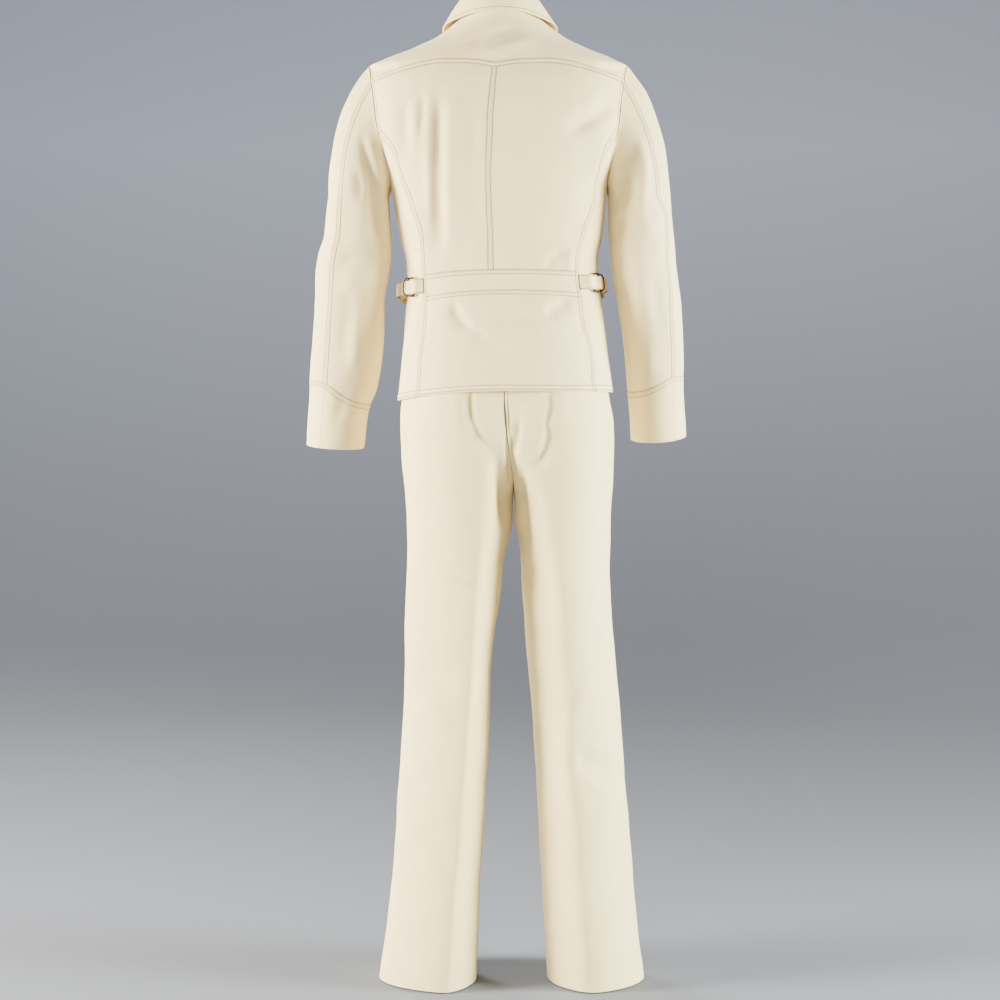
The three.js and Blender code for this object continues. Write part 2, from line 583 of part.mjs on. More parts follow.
function addJacketBack() {
  const grids = {};
  [1, -1].forEach((side) => {
    const flank = joined(sideBackUpper(side), armhole(side, SIDE_BACK_START, YOKE_END, BACK_ROWS.armhole));
    const middle = seamRun(centreBack, BELT_TOP, YOKE_POINT, BACK_ROWS.body + BACK_ROWS.armhole);
    middle[0] = beltTopRun[BACK_COLUMNS];
    const yoke = steps(BACK_COLUMNS, (t) => yokePlace(side, side > 0 ? 1 - t : t));
    middle[middle.length - 1] = yokePlace(side, 0);
    const belt = side > 0 ? beltTopRun.slice(0, BACK_COLUMNS + 1) : beltTopRun.slice(BACK_COLUMNS);
    const [left, right] = side > 0 ? [flank, middle] : [middle, flank];
    grids[side] = fill(belt, yoke, left, right);
  });
  add('jacket_back_left', panel(bodyPoint, grids[1]), CLOTH);
  add('jacket_back_right', panel(bodyPoint, grids[-1]), CLOTH);

  const belt = fill(beltBottomRun, beltTopRun, sideBackBelt(1), sideBackBelt(-1));
  add('jacket_back_belt', panel(bodyPoint, belt), CLOTH);

  const hem = roundRun(sideBackSkirt(1)[0][0], sideBackSkirt(-1)[0][0], 2 * BACK_COLUMNS, () => HEM_LEVEL);
  const skirt = fill(hem, beltBottomRun, sideBackSkirt(1), sideBackSkirt(-1));
  add('jacket_back_skirt', panel(bodyPoint, skirt), CLOTH);

  const yokeFoot = joined(
    steps(BACK_COLUMNS, (t) => yokePlace(1, 1 - t)),
    steps(BACK_COLUMNS, (t) => yokePlace(-1, t)),
  );
  const yokeHead = joined(
    shoulderSeam(1).reverse(),
    backNeck.map(neckPlace),
    shoulderSeam(-1),
  );
  const yokeSide = (side) => armhole(side, YOKE_END, 0, YOKE_ROWS);
  const yoke = fill(yokeFoot, yokeHead, yokeSide(1), yokeSide(-1));
  add('jacket_back_yoke', panel(bodyPoint, yoke), CLOTH);
}

const SIDE_COLUMNS = 6;
const SIDE_ROWS = BACK_ROWS.body + BACK_ROWS.belt + BACK_ROWS.skirt;

/** The side seam of one side, from the hem to the armhole. */
const sideSeam = (side) => {
  const top = armholePlace(side, SIDE_SEAM_START);
  return steps(SIDE_ROWS, (t) => [fromSide(side, SIDE_SEAM_TURN), mix(HEM_LEVEL, top[1], t)]);
};

function addJacketSide(side, name) {
  const back = joined(sideBackSkirt(side), sideBackBelt(side), sideBackUpper(side));
  const front = sideSeam(side);
  const hem = roundRun(front[0][0], back[0][0], SIDE_COLUMNS, () => HEM_LEVEL);
  const top = armhole(side, SIDE_SEAM_START, SIDE_BACK_START, SIDE_COLUMNS);
  const grid = side > 0
    ? fill(hem, top, front, back)
    : fill([...hem].reverse(), [...top].reverse(), back, front);
  add(name, panel(bodyPoint, grid), CLOTH);
}

const FRONT_ARMHOLE_ROWS = 6;
const FRONT_NECK_COLUMNS = 4;
const CHEST_LEVEL = -330; // at the opening, level with the foot of the armhole

/** Shares of the way up the front armhole, closer together toward the shoulder. */
const chestShares = steps(FRONT_ARMHOLE_ROWS, (t) => 1 - (1 - t) ** 1.3);
const frontArmhole = (side) => chestShares.map((share) => armholePlace(side, mix(SIDE_SEAM_START, 360, share)));

/** How far a place on the under front lies inside the body surface, near the middle. */
const lapDrop = (x) => LAP_DROP * THREE.MathUtils.smoothstep(x, -60, -LAP - 4);

/** The turns of one front's three columns in the lap, from its free edge, at a height. */
const lapTurns = (side, z) => [-LAP, 0, LAP].map((x) => (side > 0 ? -turnAt(x, z) : 360 - turnAt(-x, z)));

/** The turns of one front's neck edge, from its free edge to the shoulder seam. */
const frontNeck = (side) => {
  const lap = lapTurns(side, NECK_SIDE - NECK_FRONT_DROP);
  return joined(lap, steps(FRONT_NECK_COLUMNS - 1, (t) => mix(lap[2], fromSide(side, 0), t)));
};

function addJacketFront(side, name) {
  const hemLap = lapTurns(side, HEM_LEVEL);
  const seam = joined(sideSeam(side), frontArmhole(side));
  const restColumns = FRONT_NECK_COLUMNS + SHOULDER_COLUMNS - 1;
  const hemRest = steps(restColumns, (t) => mix(hemLap[2], seam[0][0], t));
  const hem = joined(hemLap, hemRest).map((turn) => [turn, HEM_LEVEL]);
  const top = joined(frontNeck(side).map(neckPlace), shoulderSeam(side));
  const levels = joined(
    steps(SIDE_ROWS, (t) => mix(HEM_LEVEL, CHEST_LEVEL, t)),
    chestShares.map((share) => mix(CHEST_LEVEL, top[0][1], share)),
  );
  const opening = levels.map((z) => [lapTurns(side, z)[0], z]);
  const shares = hem.map(([turn]) => (turn - hem[0][0]) / (hem.at(-1)[0] - hem[0][0]));
  const grid = side > 0
    ? fill(hem, top, opening, seam, shares)
    : fill([...hem].reverse(), [...top].reverse(), seam, opening, shares.map((share) => 1 - share).reverse());
  const surface = ([turn, z]) => {
    const point = bodyPoint([turn, z]);
    const under = side > 0 ? 0 : lapDrop(point.x - body.shift(z));
    return point.setY(point.y + under);
  };
  add(name, panel(surface, grid), CLOTH);
}

addJacketBack();
addJacketSide(1, 'jacket_side_left');
addJacketSide(-1, 'jacket_side_right');
addJacketFront(1, 'jacket_front_left');
addJacketFront(-1, 'jacket_front_right');

// ---------------------------------------------------------------------------------------------------------
// Collar: a stand round the neck seam and a leaf that folds over it and lies on the shoulders and chest
// ---------------------------------------------------------------------------------------------------------

/** The stand: `turn` round the neck, `rise` in hundredths of its height. */
function standPoint([turn, rise]) {
  const foot = bodyPoint(neckPlace(turn));
  const height = mix(STAND.front, STAND.back, (1 + Math.sin(radians(turn))) / 2);
  const share = rise / 100;
  const inward = 1 - STAND.lean * share;
  if (turn > 180) foot.y += lapDrop(foot.x) * (1 - share);
  return new THREE.Vector3(foot.x * inward, foot.y * inward, foot.z + STAND.gap + height * share);
}

/** Moves a point forward until it stands clear of the chest. */
function clearOfChest(point, weight) {
  const width = Math.min(Math.abs(point.x - body.shift(point.z)) / body.half(point.z), 1);
  const square = body.square(point.z);
  const chest = -body.front(point.z) * (1 - width ** square) ** (1 / square);
  const clear = Math.min(point.y, chest - LEAF.clear);
  return point.setY(mix(point.y, clear, weight));
}

/** The leaf: `turn` round the neck, `rise` in hundredths of the way from the outer edge to the fold. */
function leafPoint([turn, rise]) {
  const side = turn < 90 ? 1 : -1;
  const share = Math.abs(turn - 90) / STAND.end;
  const fold = standPoint([turn, 100]);
  const out = surfaceNormal(standPoint, [turn, 60]);
  fold.addScaledVector(out, LEAF.out).setZ(fold.z + LEAF.up);
  const edge = lifted([fromSide(side, leafEdge.turn(share)), leafEdge.z(share)], leafEdge.lift(share));
  const t = 1 - rise / 100;
  const point = fold.clone().lerp(edge, t).addScaledVector(out, LEAF.bulge * Math.sin(Math.PI * t));
  return turn > 0 && turn < 180 ? point : clearOfChest(point, THREE.MathUtils.smoothstep(t, 0.05, 0.35));
}

function addCollar() {
  const turns = joined(
    [90 - STAND.end, ...frontNeck(1).slice(2)],
    backNeck,
    [...frontNeck(-1).slice(2).reverse(), 90 + STAND.end],
  );
  const rows = (heights) => heights.map((height) => turns.map((turn) => [turn, height]));
  add('jacket_collar_stand', panel(standPoint, rows([0, 50, 100]), { wall: DOUBLE_WALL }), CLOTH);
  add('jacket_collar_leaf', panel(leafPoint, rows([0, 22, 44, 66, 86, 100]), { wall: DOUBLE_WALL }), CLOTH);
}

// ---------------------------------------------------------------------------------------------------------
// Sleeves. `round` is in degrees: 0 the arm's outermost line, 90 its back, 180 its inner side.
// ---------------------------------------------------------------------------------------------------------

const arm = columns(ARM_CUTS, 'z');
const armSeam = columns(ARM_SEAMS, 'z');
const cuffEdge = columns(CUFF_EDGE, 'round');
const sideName = (side) => (side > 0 ? 'left' : 'right');

/** The way the middle of the arm runs at a height: sideways and backward per millimetre down. */
function armRun(side, z) {
  const middle = arm[`${sideName(side)}X`];
  return { aside: (middle(z - 20) - middle(z + 20)) / 40, back: (arm.y(z - 20) - arm.y(z + 20)) / 40 };
}

/** A point on a ring square to the arm. */
function armRing(side, round, z) {
  const half = arm[`${sideName(side)}Half`](z);
  const depth = Math.sqrt(2 * (arm.girth(z) / (2 * Math.PI)) ** 2 - half ** 2);
  const out = side * half * Math.cos(radians(round));
  const back = depth * Math.sin(radians(round));
  const run = armRun(side, z);
  const middle = arm[`${sideName(side)}X`](z);
  return new THREE.Vector3(middle + out, arm.y(z) + back, z + run.aside * out + run.back * back);
}

/** The sleeve: rings down the arm, and above them a cap that flows out of the armhole. */
function sleevePoint(side, [round, level]) {
  if (level <= CAP_END) return armRing(side, round, level);
  const top = ARMHOLE.middle + ARMHOLE.reach;
  const t = (level - top) / (CAP_END - top);
  const start = lifted(armholePlace(side, round), SLEEVE_START.lift);
  const end = armRing(side, round, CAP_END);
  const reach = start.distanceTo(end);
  const upper = (1 + Math.cos(radians(round))) / 2;
  const leave = new THREE.Vector3(side * mix(0.2, 0.78, upper), 0, -mix(1, 0.63, upper)).normalize();
  start.addScaledVector(leave, SLEEVE_START.ahead);
  const run = armRun(side, CAP_END);
  const arrive = new THREE.Vector3(run.aside, run.back, -1).normalize();
  return start.multiplyScalar((1 + 2 * t) * (1 - t) ** 2)
    .addScaledVector(end, t * t * (3 - 2 * t))
    .addScaledVector(leave, reach * t * (1 - t) ** 2)
    .addScaledVector(arrive, reach * t * t * (t - 1));
}

const CAP_ROWS = 4;
const ARM_ROWS = 5;
const CUFF_ROWS = 2;

function addSleeve(side) {
  const name = sideName(side);
  const surface = (place) => sleevePoint(side, place);
  const top = ARMHOLE.middle + ARMHOLE.reach;
  const cuffLevel = (round) => CUFF_PEAK - side * ARM_HANG - cuffEdge.drop(round);
  const sleeveEnd = SLEEVE_END - side * ARM_HANG;
  const pieces = {
    under: joined(
      steps(BACK_ROWS.armhole, (t) => mix(YOKE_END, SIDE_BACK_START, t)),
      steps(SIDE_COLUMNS, (t) => mix(SIDE_BACK_START, SIDE_SEAM_START, t)),
    ),
    top: joined(
      chestShares.map((share) => mix(SIDE_SEAM_START - 360, 0, share)),
      steps(YOKE_ROWS, (t) => mix(0, YOKE_END, t)),
    ),
  };
  Object.entries(pieces).forEach(([piece, rounds]) => {
    const span = rounds.at(-1) - rounds[0];
    const shares = rounds.map((round) => (round - rounds[0]) / span);
    const edges = (level) => (piece === 'under'
      ? [armSeam[name](level), armSeam.under(level)]
      : [armSeam.under(level) - 360, armSeam[name](level)]);
    const across = (level) => shares.map((share) => [mix(...edges(level), share), level]);
    const cuffRow = across(CUFF_PEAK).map(([round]) => [round, cuffLevel(round)]);
    const below = (t) => across(mix(CAP_END, CUFF_PEAK, t)).map(([round, level], i) => (
      [round, level + t * (cuffRow[i][1] - CUFF_PEAK)]));
    const capRows = steps(CAP_ROWS, (t) => across(mix(CAP_END, top, t)));
    const armRows = steps(ARM_ROWS, (t) => below(1 - t));
    const cuffRows = steps(CUFF_ROWS, (t) => (
      cuffRow.map(([round, level]) => [round, mix(sleeveEnd, level, t)])));
    add(`jacket_${piece}_sleeve_${name}`, panel(surface, joined(armRows, capRows), { flip: side < 0 }), CLOTH);
    add(`jacket_${piece}_cuff_${name}`, panel(surface, cuffRows, { flip: side < 0, wall: DOUBLE_WALL }), CLOTH);
  });
}

// ---------------------------------------------------------------------------------------------------------
// Side fastenings: a folded belt end holds two rings, and a strap from the front runs through them
// ---------------------------------------------------------------------------------------------------------

const strapRun = columns(STRAP_RUN, 'share');
const tabRun = columns(TAB_RUN, 'share');

/** A band round one flank: one face from a list of shares of its run, turned about when `flip` is true. */
function flankBand(side, shares, run, { half, wall, flip }) {
  const widths = [-half, 0, half];
  const rows = widths.map((width) => shares.map((share) => {
    const { turn, lift, drop } = run(share);
    return lifted([fromSide(side, turn), TAB_LEVEL - drop + width], lift);
  }));
  return clothWall(side > 0 === flip ? rows.map((row) => row.reverse()) : rows, { wall, inset: 0 });
}

function addFastening(side) {
  const name = sideName(side);
  const strapShares = joined(steps(8, (t) => 0.42 * t), [0.42, 0.47, 0.487, 0.5, 0.513, 0.53], [0.53, 0.6],
    steps(6, (t) => mix(0.6, 1, t)));
  const strap = flankBand(side, strapShares, (share) => (
    { turn: strapRun.turn(share), lift: strapRun[name](share), drop: strapRun.drop(share) }
  ), { half: STRAP_HALF, wall: DOUBLE_WALL, flip: false });
  add(`jacket_strap_${name}`, strap, CLOTH);

  const tabShares = TAB_RUN.map((row) => row.share);
  const seamTurn = fromSide(side, sideBack(side, TAB_LEVEL)[0]);
  const fold = TAB_RUN[4];
  const spread = (seamTurn - 1 - fold.turn) / (TAB_RUN[0].turn - fold.turn);
  const tab = flankBand(side, tabShares, (share) => {
    const turn = tabRun.turn(share);
    const placed = share < fold.share ? fold.turn + (turn - fold.turn) * spread : turn;
    return { turn: placed, lift: tabRun.lift(share), drop: 0 };
  }, { half: TAB_HALF, wall: WALL, flip: true });
  add(`jacket_tab_${name}`, tab, CLOTH);

  RINGS.forEach((ring) => {
    const bar = [fromSide(side, ring.turn), TAB_LEVEL];
    const out = surfaceNormal(bodyPoint, bar);
    const up = new THREE.Vector3(0, 0, 1).addScaledVector(out, -out.z).normalize();
    const forward = up.clone().cross(out).multiplyScalar(-side);
    const reach = forward.multiplyScalar(Math.cos(radians(ring.tilt)))
      .addScaledVector(out, Math.sin(radians(ring.tilt)));
    const start = lifted(bar, ring.lift);
    const place = (ahead, height) => start.clone().addScaledVector(reach, ahead).addScaledVector(up, height);
    const straight = steps(2, (t) => place(0, mix(-RING.halfHeight, RING.halfHeight, t)));
    const bow = steps(12, (t) => {
      const angle = mix(Math.PI / 2, -Math.PI / 2, t);
      return place(RING.depth * signedPower(Math.cos(angle), RING.square),
        RING.halfHeight * signedPower(Math.sin(angle), RING.square));
    });
    const path = [...straight, ...bow.slice(1, -1)];
    add(`jacket_ring_${ring.name}_${name}`, wireRing(side > 0 ? path : path.reverse(), RING.wire), BRASS);
  });
}

// ---------------------------------------------------------------------------------------------------------
// Trousers. `across` is in hundredths: 0 the side seam, 50 the crease, 100 the seat, rise or inside leg seam.
// ---------------------------------------------------------------------------------------------------------

const leg = columns(LEG_CUTS, 'z');
const rise = columns(RISE_SEAM, 'level');

/** A point of one leg's back or front, on the cut that leaves the side seam at `level`. */
function legPoint(side, face, [across, level]) {
  const name = sideName(side);
  const behind = face > 0;
  const crease = leg[`${name}${behind ? 'Back' : 'Front'}`](level);
  const depth = face * leg[behind ? 'back' : 'front'](level);
  const outer = across <= 50;
  const angle = radians(outer ? (across / 50) * 90 : ((100 - across) / 50) * 90);
  const sharp = leg.crease(level);
  const aside = mix(Math.cos(angle), Math.cos(angle) ** 2, sharp);
  if (outer) {
    const seam = leg[`${name}Outer`](level);
    return new THREE.Vector3(mix(crease, seam, aside), depth * Math.sin(angle), level);
  }
  const above = level > CROTCH_LEVEL;
  const seamX = leg[`${name}Inner`](level) + side * LEG_GAP;
  const seamY = above ? rise[behind ? 'seatY' : 'riseY'](level) : 0;
  const seamZ = above ? rise[behind ? 'seatZ' : 'riseZ'](level) : level;
  const share = (across - 50) / 50;
  return new THREE.Vector3(
    mix(crease, seamX, aside),
    mix(seamY, depth, Math.sin(angle)),
    mix(level, seamZ, share * share),
  );
}

const LEG_LEVELS = [
  LEG_END, -1480, -1330, -1180, -1075, -985, -905, -855,
  CROTCH_LEVEL, -810, -795, -768, -725, -660, -600, WAIST_LEVEL,
];
const LEG_COLUMNS = 8;

function addTrousers() {
  const across = steps(LEG_COLUMNS, (t) => 100 * t);
  [1, -1].forEach((side) => {
    [1, -1].forEach((face) => {
      const surface = (place) => legPoint(side, face, place);
      const places = LEG_LEVELS.map((level) => across.map((share) => [share, level]));
      const name = `trouser_${face > 0 ? 'back' : 'front'}_${sideName(side)}`;
      add(name, panel(surface, places, { flip: side * face < 0 }), CLOTH);
    });
  });
  const round = ([way, level]) => {
    if (way <= 100) return legPoint(1, -1, [100 - way, level]);
    if (way <= 200) return legPoint(1, 1, [way - 100, level]);
    if (way <= 300) return legPoint(-1, 1, [300 - way, level]);
    return legPoint(-1, -1, [way - 300, level]);
  };
  const band = [WAIST_LEVEL, WAISTBAND_TOP].map((level) => steps(4 * LEG_COLUMNS, (t) => [400 * t, level]));
  add('trouser_waistband', panel(round, band, { wall: DOUBLE_WALL }), CLOTH);
  const waist = [5, (WAIST_LEVEL + WAISTBAND_TOP) / 2];
  addButton('trouser_waist_button', round(waist), surfaceNormal(round, waist), BUTTON.waistGap);
}

/** A flat round button lying just off a surface. */
function addButton(name, point, out, gap = BUTTON.gap) {
  const { radius, thick } = BUTTON;
  const face = [[radius, thick - 0.8], [radius - 1.6, thick], [0, thick - 0.6]];
  const profile = [[0, 0], [radius - 1, 0], [radius, 1], ...face];
  const geometry = new THREE.LatheGeometry(profile.map(([x, y]) => new THREE.Vector2(x, y)), 10);
  const turn = new THREE.Quaternion().setFromUnitVectors(new THREE.Vector3(0, 1, 0), out);
  geometry.applyQuaternion(turn);
  geometry.translate(...point.clone().addScaledVector(out, gap).toArray());
  add(name, geometry, HORN);
}

addCollar();
addSleeve(1);
addSleeve(-1);
addFastening(1);
addFastening(-1);
for (let i = 0; i < BUTTON.count; i += 1) {
  const place = [-90, BUTTON.first + BUTTON.pitch * i];
  addButton(`jacket_button_${i + 1}`, bodyPoint(place), surfaceNormal(bodyPoint, place));
}
addTrousers();

export default suit;
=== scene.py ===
"""A western suit, filled out with no wearer: a belted jacket and flared trousers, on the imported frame.

Tables and lengths are in millimetres, and turned to metres as each mesh is made. +Z is up, the suit's front
faces -Y and its wearer's left is +X. The origin is the middle of the neck. Every cloth panel is a grid over
a surface between four edges. Its outer face carries the ridges beside its seams and the cloth's folds.
"""

import bpy
import numpy as np
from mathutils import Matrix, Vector


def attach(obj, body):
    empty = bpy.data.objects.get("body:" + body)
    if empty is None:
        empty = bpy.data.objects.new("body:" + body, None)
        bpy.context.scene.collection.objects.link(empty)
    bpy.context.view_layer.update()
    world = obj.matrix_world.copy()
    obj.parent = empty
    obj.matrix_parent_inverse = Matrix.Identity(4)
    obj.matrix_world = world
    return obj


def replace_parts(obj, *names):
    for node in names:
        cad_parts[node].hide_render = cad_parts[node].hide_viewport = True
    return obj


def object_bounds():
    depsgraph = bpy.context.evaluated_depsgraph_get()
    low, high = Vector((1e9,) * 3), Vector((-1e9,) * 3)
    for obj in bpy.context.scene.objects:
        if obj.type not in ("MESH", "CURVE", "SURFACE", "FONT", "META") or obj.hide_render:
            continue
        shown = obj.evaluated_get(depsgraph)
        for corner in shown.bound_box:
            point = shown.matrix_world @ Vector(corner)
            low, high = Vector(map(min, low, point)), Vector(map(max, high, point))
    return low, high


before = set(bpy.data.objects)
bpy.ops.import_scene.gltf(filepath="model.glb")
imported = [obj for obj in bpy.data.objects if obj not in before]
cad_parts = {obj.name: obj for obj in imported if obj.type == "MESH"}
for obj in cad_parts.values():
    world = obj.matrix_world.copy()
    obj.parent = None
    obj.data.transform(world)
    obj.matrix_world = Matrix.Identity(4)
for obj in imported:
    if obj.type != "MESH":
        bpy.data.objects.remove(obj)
cad_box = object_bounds()

# ---- Camera ----

CAMERA = {"place": (-0.005, 3.5, -0.709), "width_seen": 1.68, "sensor": 36.0, "drop": 0.07}


def set_camera():
    """A level camera behind the suit, as high as its belt. It sees 1.68 m across the suit's middle, with
    its lens shifted down."""
    data = bpy.data.cameras.new("from_behind")
    camera = bpy.data.objects.new("from_behind", data)
    data.sensor_width = CAMERA["sensor"]
    data.lens = CAMERA["sensor"] * CAMERA["place"][1] / CAMERA["width_seen"]
    data.shift_y = -CAMERA["drop"]
    camera.location = CAMERA["place"]
    camera.rotation_euler = (np.pi / 2, 0, np.pi)
    bpy.context.scene.collection.objects.link(camera)
    bpy.context.scene.camera = camera


set_camera()

# ---- Dimensions and tables, in the main the solids' own ----

MM = 0.001
WALL = 1.5
DOUBLE_WALL = 2.1
SEAM_INSET = 0.15
SIDES = {1: "left", -1: "right"}  # the sign of X on each side of the wearer

HEM_LEVEL = -646
BELT_TOP = -448
BELT_BOTTOM = -482
BELT_SIDE_TOP = -451.5
BELT_SIDE_BOTTOM = -487
BELT_HANG = {"top": 3.5, "bottom": 6}  # how much lower its edges are at the flanks
YOKE_POINT = -117.5
NECK_SIDE = 2
NECK_BACK_RISE = 6
NECK_FRONT_DROP = 74
NECK_FRONT_POWER = 2.2

ARMHOLE = {"middle": -200, "reach": 103, "back": 21.5, "front": 28, "round": 0.85}
YOKE_END = 50.5
SIDE_BACK_START = 94
SIDE_SEAM_START = 206.3
SIDE_SEAM_TURN = -14
SHOULDER_TIP = ARMHOLE["middle"] + ARMHOLE["reach"]

LAP = 14
LAP_DROP = 2.3
BUTTON = {"radius": 9, "thick": 3, "gap": 0.7, "count": 5, "first": -112, "pitch": -105}
WAIST_BUTTON = {"gap": 1.2, "way": 5.0}  # how far it stands off, and how far round from the closing it is
STAND = {"back": 35, "front": 25, "lean": 0.19, "end": 179.8, "gap": 0.7}
# `leans` is the place up the stand, in hundredths, whose outward way the leaf takes
LEAF = {"out": 2.9, "up": 1.2, "bulge": 2.5, "clear": 5.5, "clear_from": 0.05, "clear_by": 0.35, "leans": 60}

CAP_END = -322
CUFF_PEAK = -627
SLEEVE_END = -729
ARM_HANG = 7.5
# `out` and `down` give the way it leaves the armhole, under the arm and on top. `past` is how far its curve
# may go on beyond the armhole, as a share of the cap, so that it has a facing there.
SLEEVE_START = {"lift": 0.7, "ahead": 0.7, "out": (0.2, 0.7), "down": (1, 0.71), "past": -0.05}

STRAP_HALF = 11.3
TAB_HALF = 13
TAB_LEVEL = -465.5
RING = {"wire": 1.3, "half_height": 15, "depth": 24, "square": 0.5}
RINGS = {"upper": {"turn": 27.7, "lift": 7.9, "tilt": 5}, "lower": {"turn": 26.4, "lift": 5, "tilt": -7}}

WAIST_LEVEL = -549
WAISTBAND_TOP = -511
CROTCH_LEVEL = -818
LEG_END = -1627
LEG_GAP = 0.3


def table(names, *rows):
    """The columns of a small table, by name."""
    return dict(zip(names.split(), np.array(rows, float).T))


BODY_CUTS = table(
    "z half back front square shift sag",
    (-665, 182.5, 122, 116, 2.3, -14, 12),
    (-625, 178, 119, 114, 2.3, -13.5, 12),
    (-558, 170.5, 109, 108, 2.3, -13, 10.5),
    (-490, 163.5, 97, 105, 2.25, -12.5, 9.5),
    (-462, 160, 94, 104, 2.25, -11, 9),
    (-423, 161, 97, 107, 2.25, -9.2, 7),
    (-390, 168, 103, 111, 2.25, -8, 4),
    (-356, 174, 109, 116, 2.3, -5.8, 2),
    (-300, 182, 116, 119, 2.35, -4, 0),
    (-256, 197, 119, 118, 2.45, -2.8, 0),
    (-221, 208, 119, 115, 2.5, -2, 0),
    (-187, 214, 117, 110, 2.5, -1, 0),
    (-135, 217, 108, 98, 2.35, -0.6, 0),
    (-101, 217, 96, 86, 2.1, -1.5, 0),
    (-92, 201, 93, 83, 2.05, -2, 0),
    (-72, 152, 85, 76, 2, -3.5, 0),
    (-51, 108, 76, 69, 2, -5, 0),
    (-28, 77, 67, 64, 2, -5, 0),
    (-10, 60, 63, 61, 2, -4.5, 0),
    (10, 51, 60, 57, 2, -4, 0),
)
BACK_SEAMS = table(
    "z centre left right",
    (-665, 20, 147, 147),
    (-632, 20, 143, 145),
    (-575, 20, 138, 141),
    (-527, 20, 132, 128),
    (-467, 20, 130, 122),
    (-438, 20, 130, 120),
    (-386, 19, 131, 134),
    (-332, 18.4, 146, 155),
    (-290, 17.9, 162, 162),
    (-245, 15, 175, 175),
    (-205, 12.8, 200, 200),
    (-117, 4.8, 206, 206),
)
YOKE_EDGE = table(
    "share z",
    (0, -117.5), (0.17, -112), (0.3, -110.2), (0.41, -109.4), (0.53, -111),
    (0.66, -116), (0.79, -122.3), (0.91, -129), (1, -134.5),
)
LEAF_EDGE = table(
    "share turn z lift",
    (0, 90, -17, 5),
    (0.15, 60, -20, 5),
    (0.3, 32, -29, 6.8),
    (0.42, 9, -37, 8.4),
    (0.53, -16, -43, 8.6),
    (0.65, -38, -57, 6.6),
    (0.77, -56, -80, 5),
    (0.88, -67, -112, 5),
    (1, -74, -150, 5),
)
ARM_CUTS = table(
    "z left_x left_half right_x right_half y girth",
    (-322, 232, 50.4, -238.5, 52, 0, 368),
    (-390, 233.6, 57, -243, 54, 2, 358),
    (-440, 242.8, 60.5, -247, 54.5, 3, 350),
    (-490, 247, 57.5, -254.5, 52.5, 2, 340),
    (-558, 249.5, 59.5, -263, 49.6, -6, 326),
    (-625, 258.8, 57, -267, 48, -16, 310),
    (-660, 266, 51.5, -269, 47.5, -22, 298),
    (-740, 275, 48, -275, 46, -38, 288),
)
ARM_SEAMS = table(
    "z left right under",
    (-97, 50.5, 50.5, 206.3),
    (-210, 56, 55, 206.3),
    (-322, 60, 58, 207),
    (-355, 60, 42, 208),
    (-415, 60, 45, 209),
    (-490, 59, 49, 210),
    (-560, 57, 55, 210),
    (-640, 62, 56, 210),
    (-740, 68, 55, 210),
)
LEG_CUTS = table(
    "z back front crease left_outer left_inner left_back left_front "
    "right_outer right_inner right_back right_front",
    (-1627, 103, 101, 0.5, 197, 33, 84, 140, -246, -83, -156, -170),
    (-1499, 98, 96, 0.5, 180, 30, 75, 129, -232, -77, -145, -158),
    (-1331, 91, 90, 0.5, 166.5, 18.5, 61, 118, -218, -67, -133, -146),
    (-1163, 87, 87, 0.5, 156.5, 11.5, 47.5, 113, -205, -58, -123, -136),
    (-1079, 88, 88, 0.45, 154.6, 7.5, 42.5, 112, -197, -48.5, -119, -127),
    (-995, 92, 91, 0.35, 152.9, -5, 38.5, 106, -191.5, -43.6, -112, -119),
    (-927, 97.5, 95, 0.25, 151, -11, 34, 100, -189, -40, -105, -114),
    (-894, 101, 97, 0.2, 151, -19.5, 33, 96, -189.5, -37, -102, -111.5),
    (-862, 104.5, 98.5, 0.15, 151, -26.6, 32, 92, -190, -28.8, -99, -109),
    (-818, 110, 100.5, 0.05, 154, -27.7, 33, 82, -192.5, -27.7, -96, -105),
    (-795, 113, 102, 0, 156, -27, 35, 76, -195, -27, -95, -100),
    (-750, 116, 103.5, 0, 160, -20, 40, 68, -196.5, -20, -91, -94),
    (-700, 115.5, 104, 0, 161.5, -14.5, 45, 60, -196, -14.5, -86, -89),
    (-655, 111.5, 101.5, 0, 159.5, -12, 47, 54, -188.5, -12, -80, -83),
    (-600, 99, 96, 0, 148, -12, 44, 48, -176, -12, -72, -74),
    (-549, 92, 96, 0, 138, -12, 38, 40, -162, -12, -63, -65),
    (-505, 86, 93, 0, 135, -12, 36, 38, -158, -12, -60, -62),
)
RISE_SEAM = table(
    "level seat_y seat_z rise_y rise_z",
    (-818, 0, -818, 0, -818),
    (-815, 17, -815, -30, -814),
    (-808, 36, -807, -54, -806),
    (-795, 58, -793, -74, -792),
    (-775, 82, -773, -89, -772),
    (-752, 99, -751, -97, -750),
    (-716, 110, -715, -102.5, -715),
    (-655, 110, -655, -100.5, -655),
    (-600, 98, -600, -95, -600),
    (-549, 91.5, -549, -95.5, -549),
    (-505, 85.5, -505, -92.5, -505),
)
CUFF_EDGE = table(
    "round drop",
    (-150, 28), (-100, 16), (-50, 6), (0, 4), (57, 0), (90, 12), (120, 21), (180, 27.5), (210, 28),
)
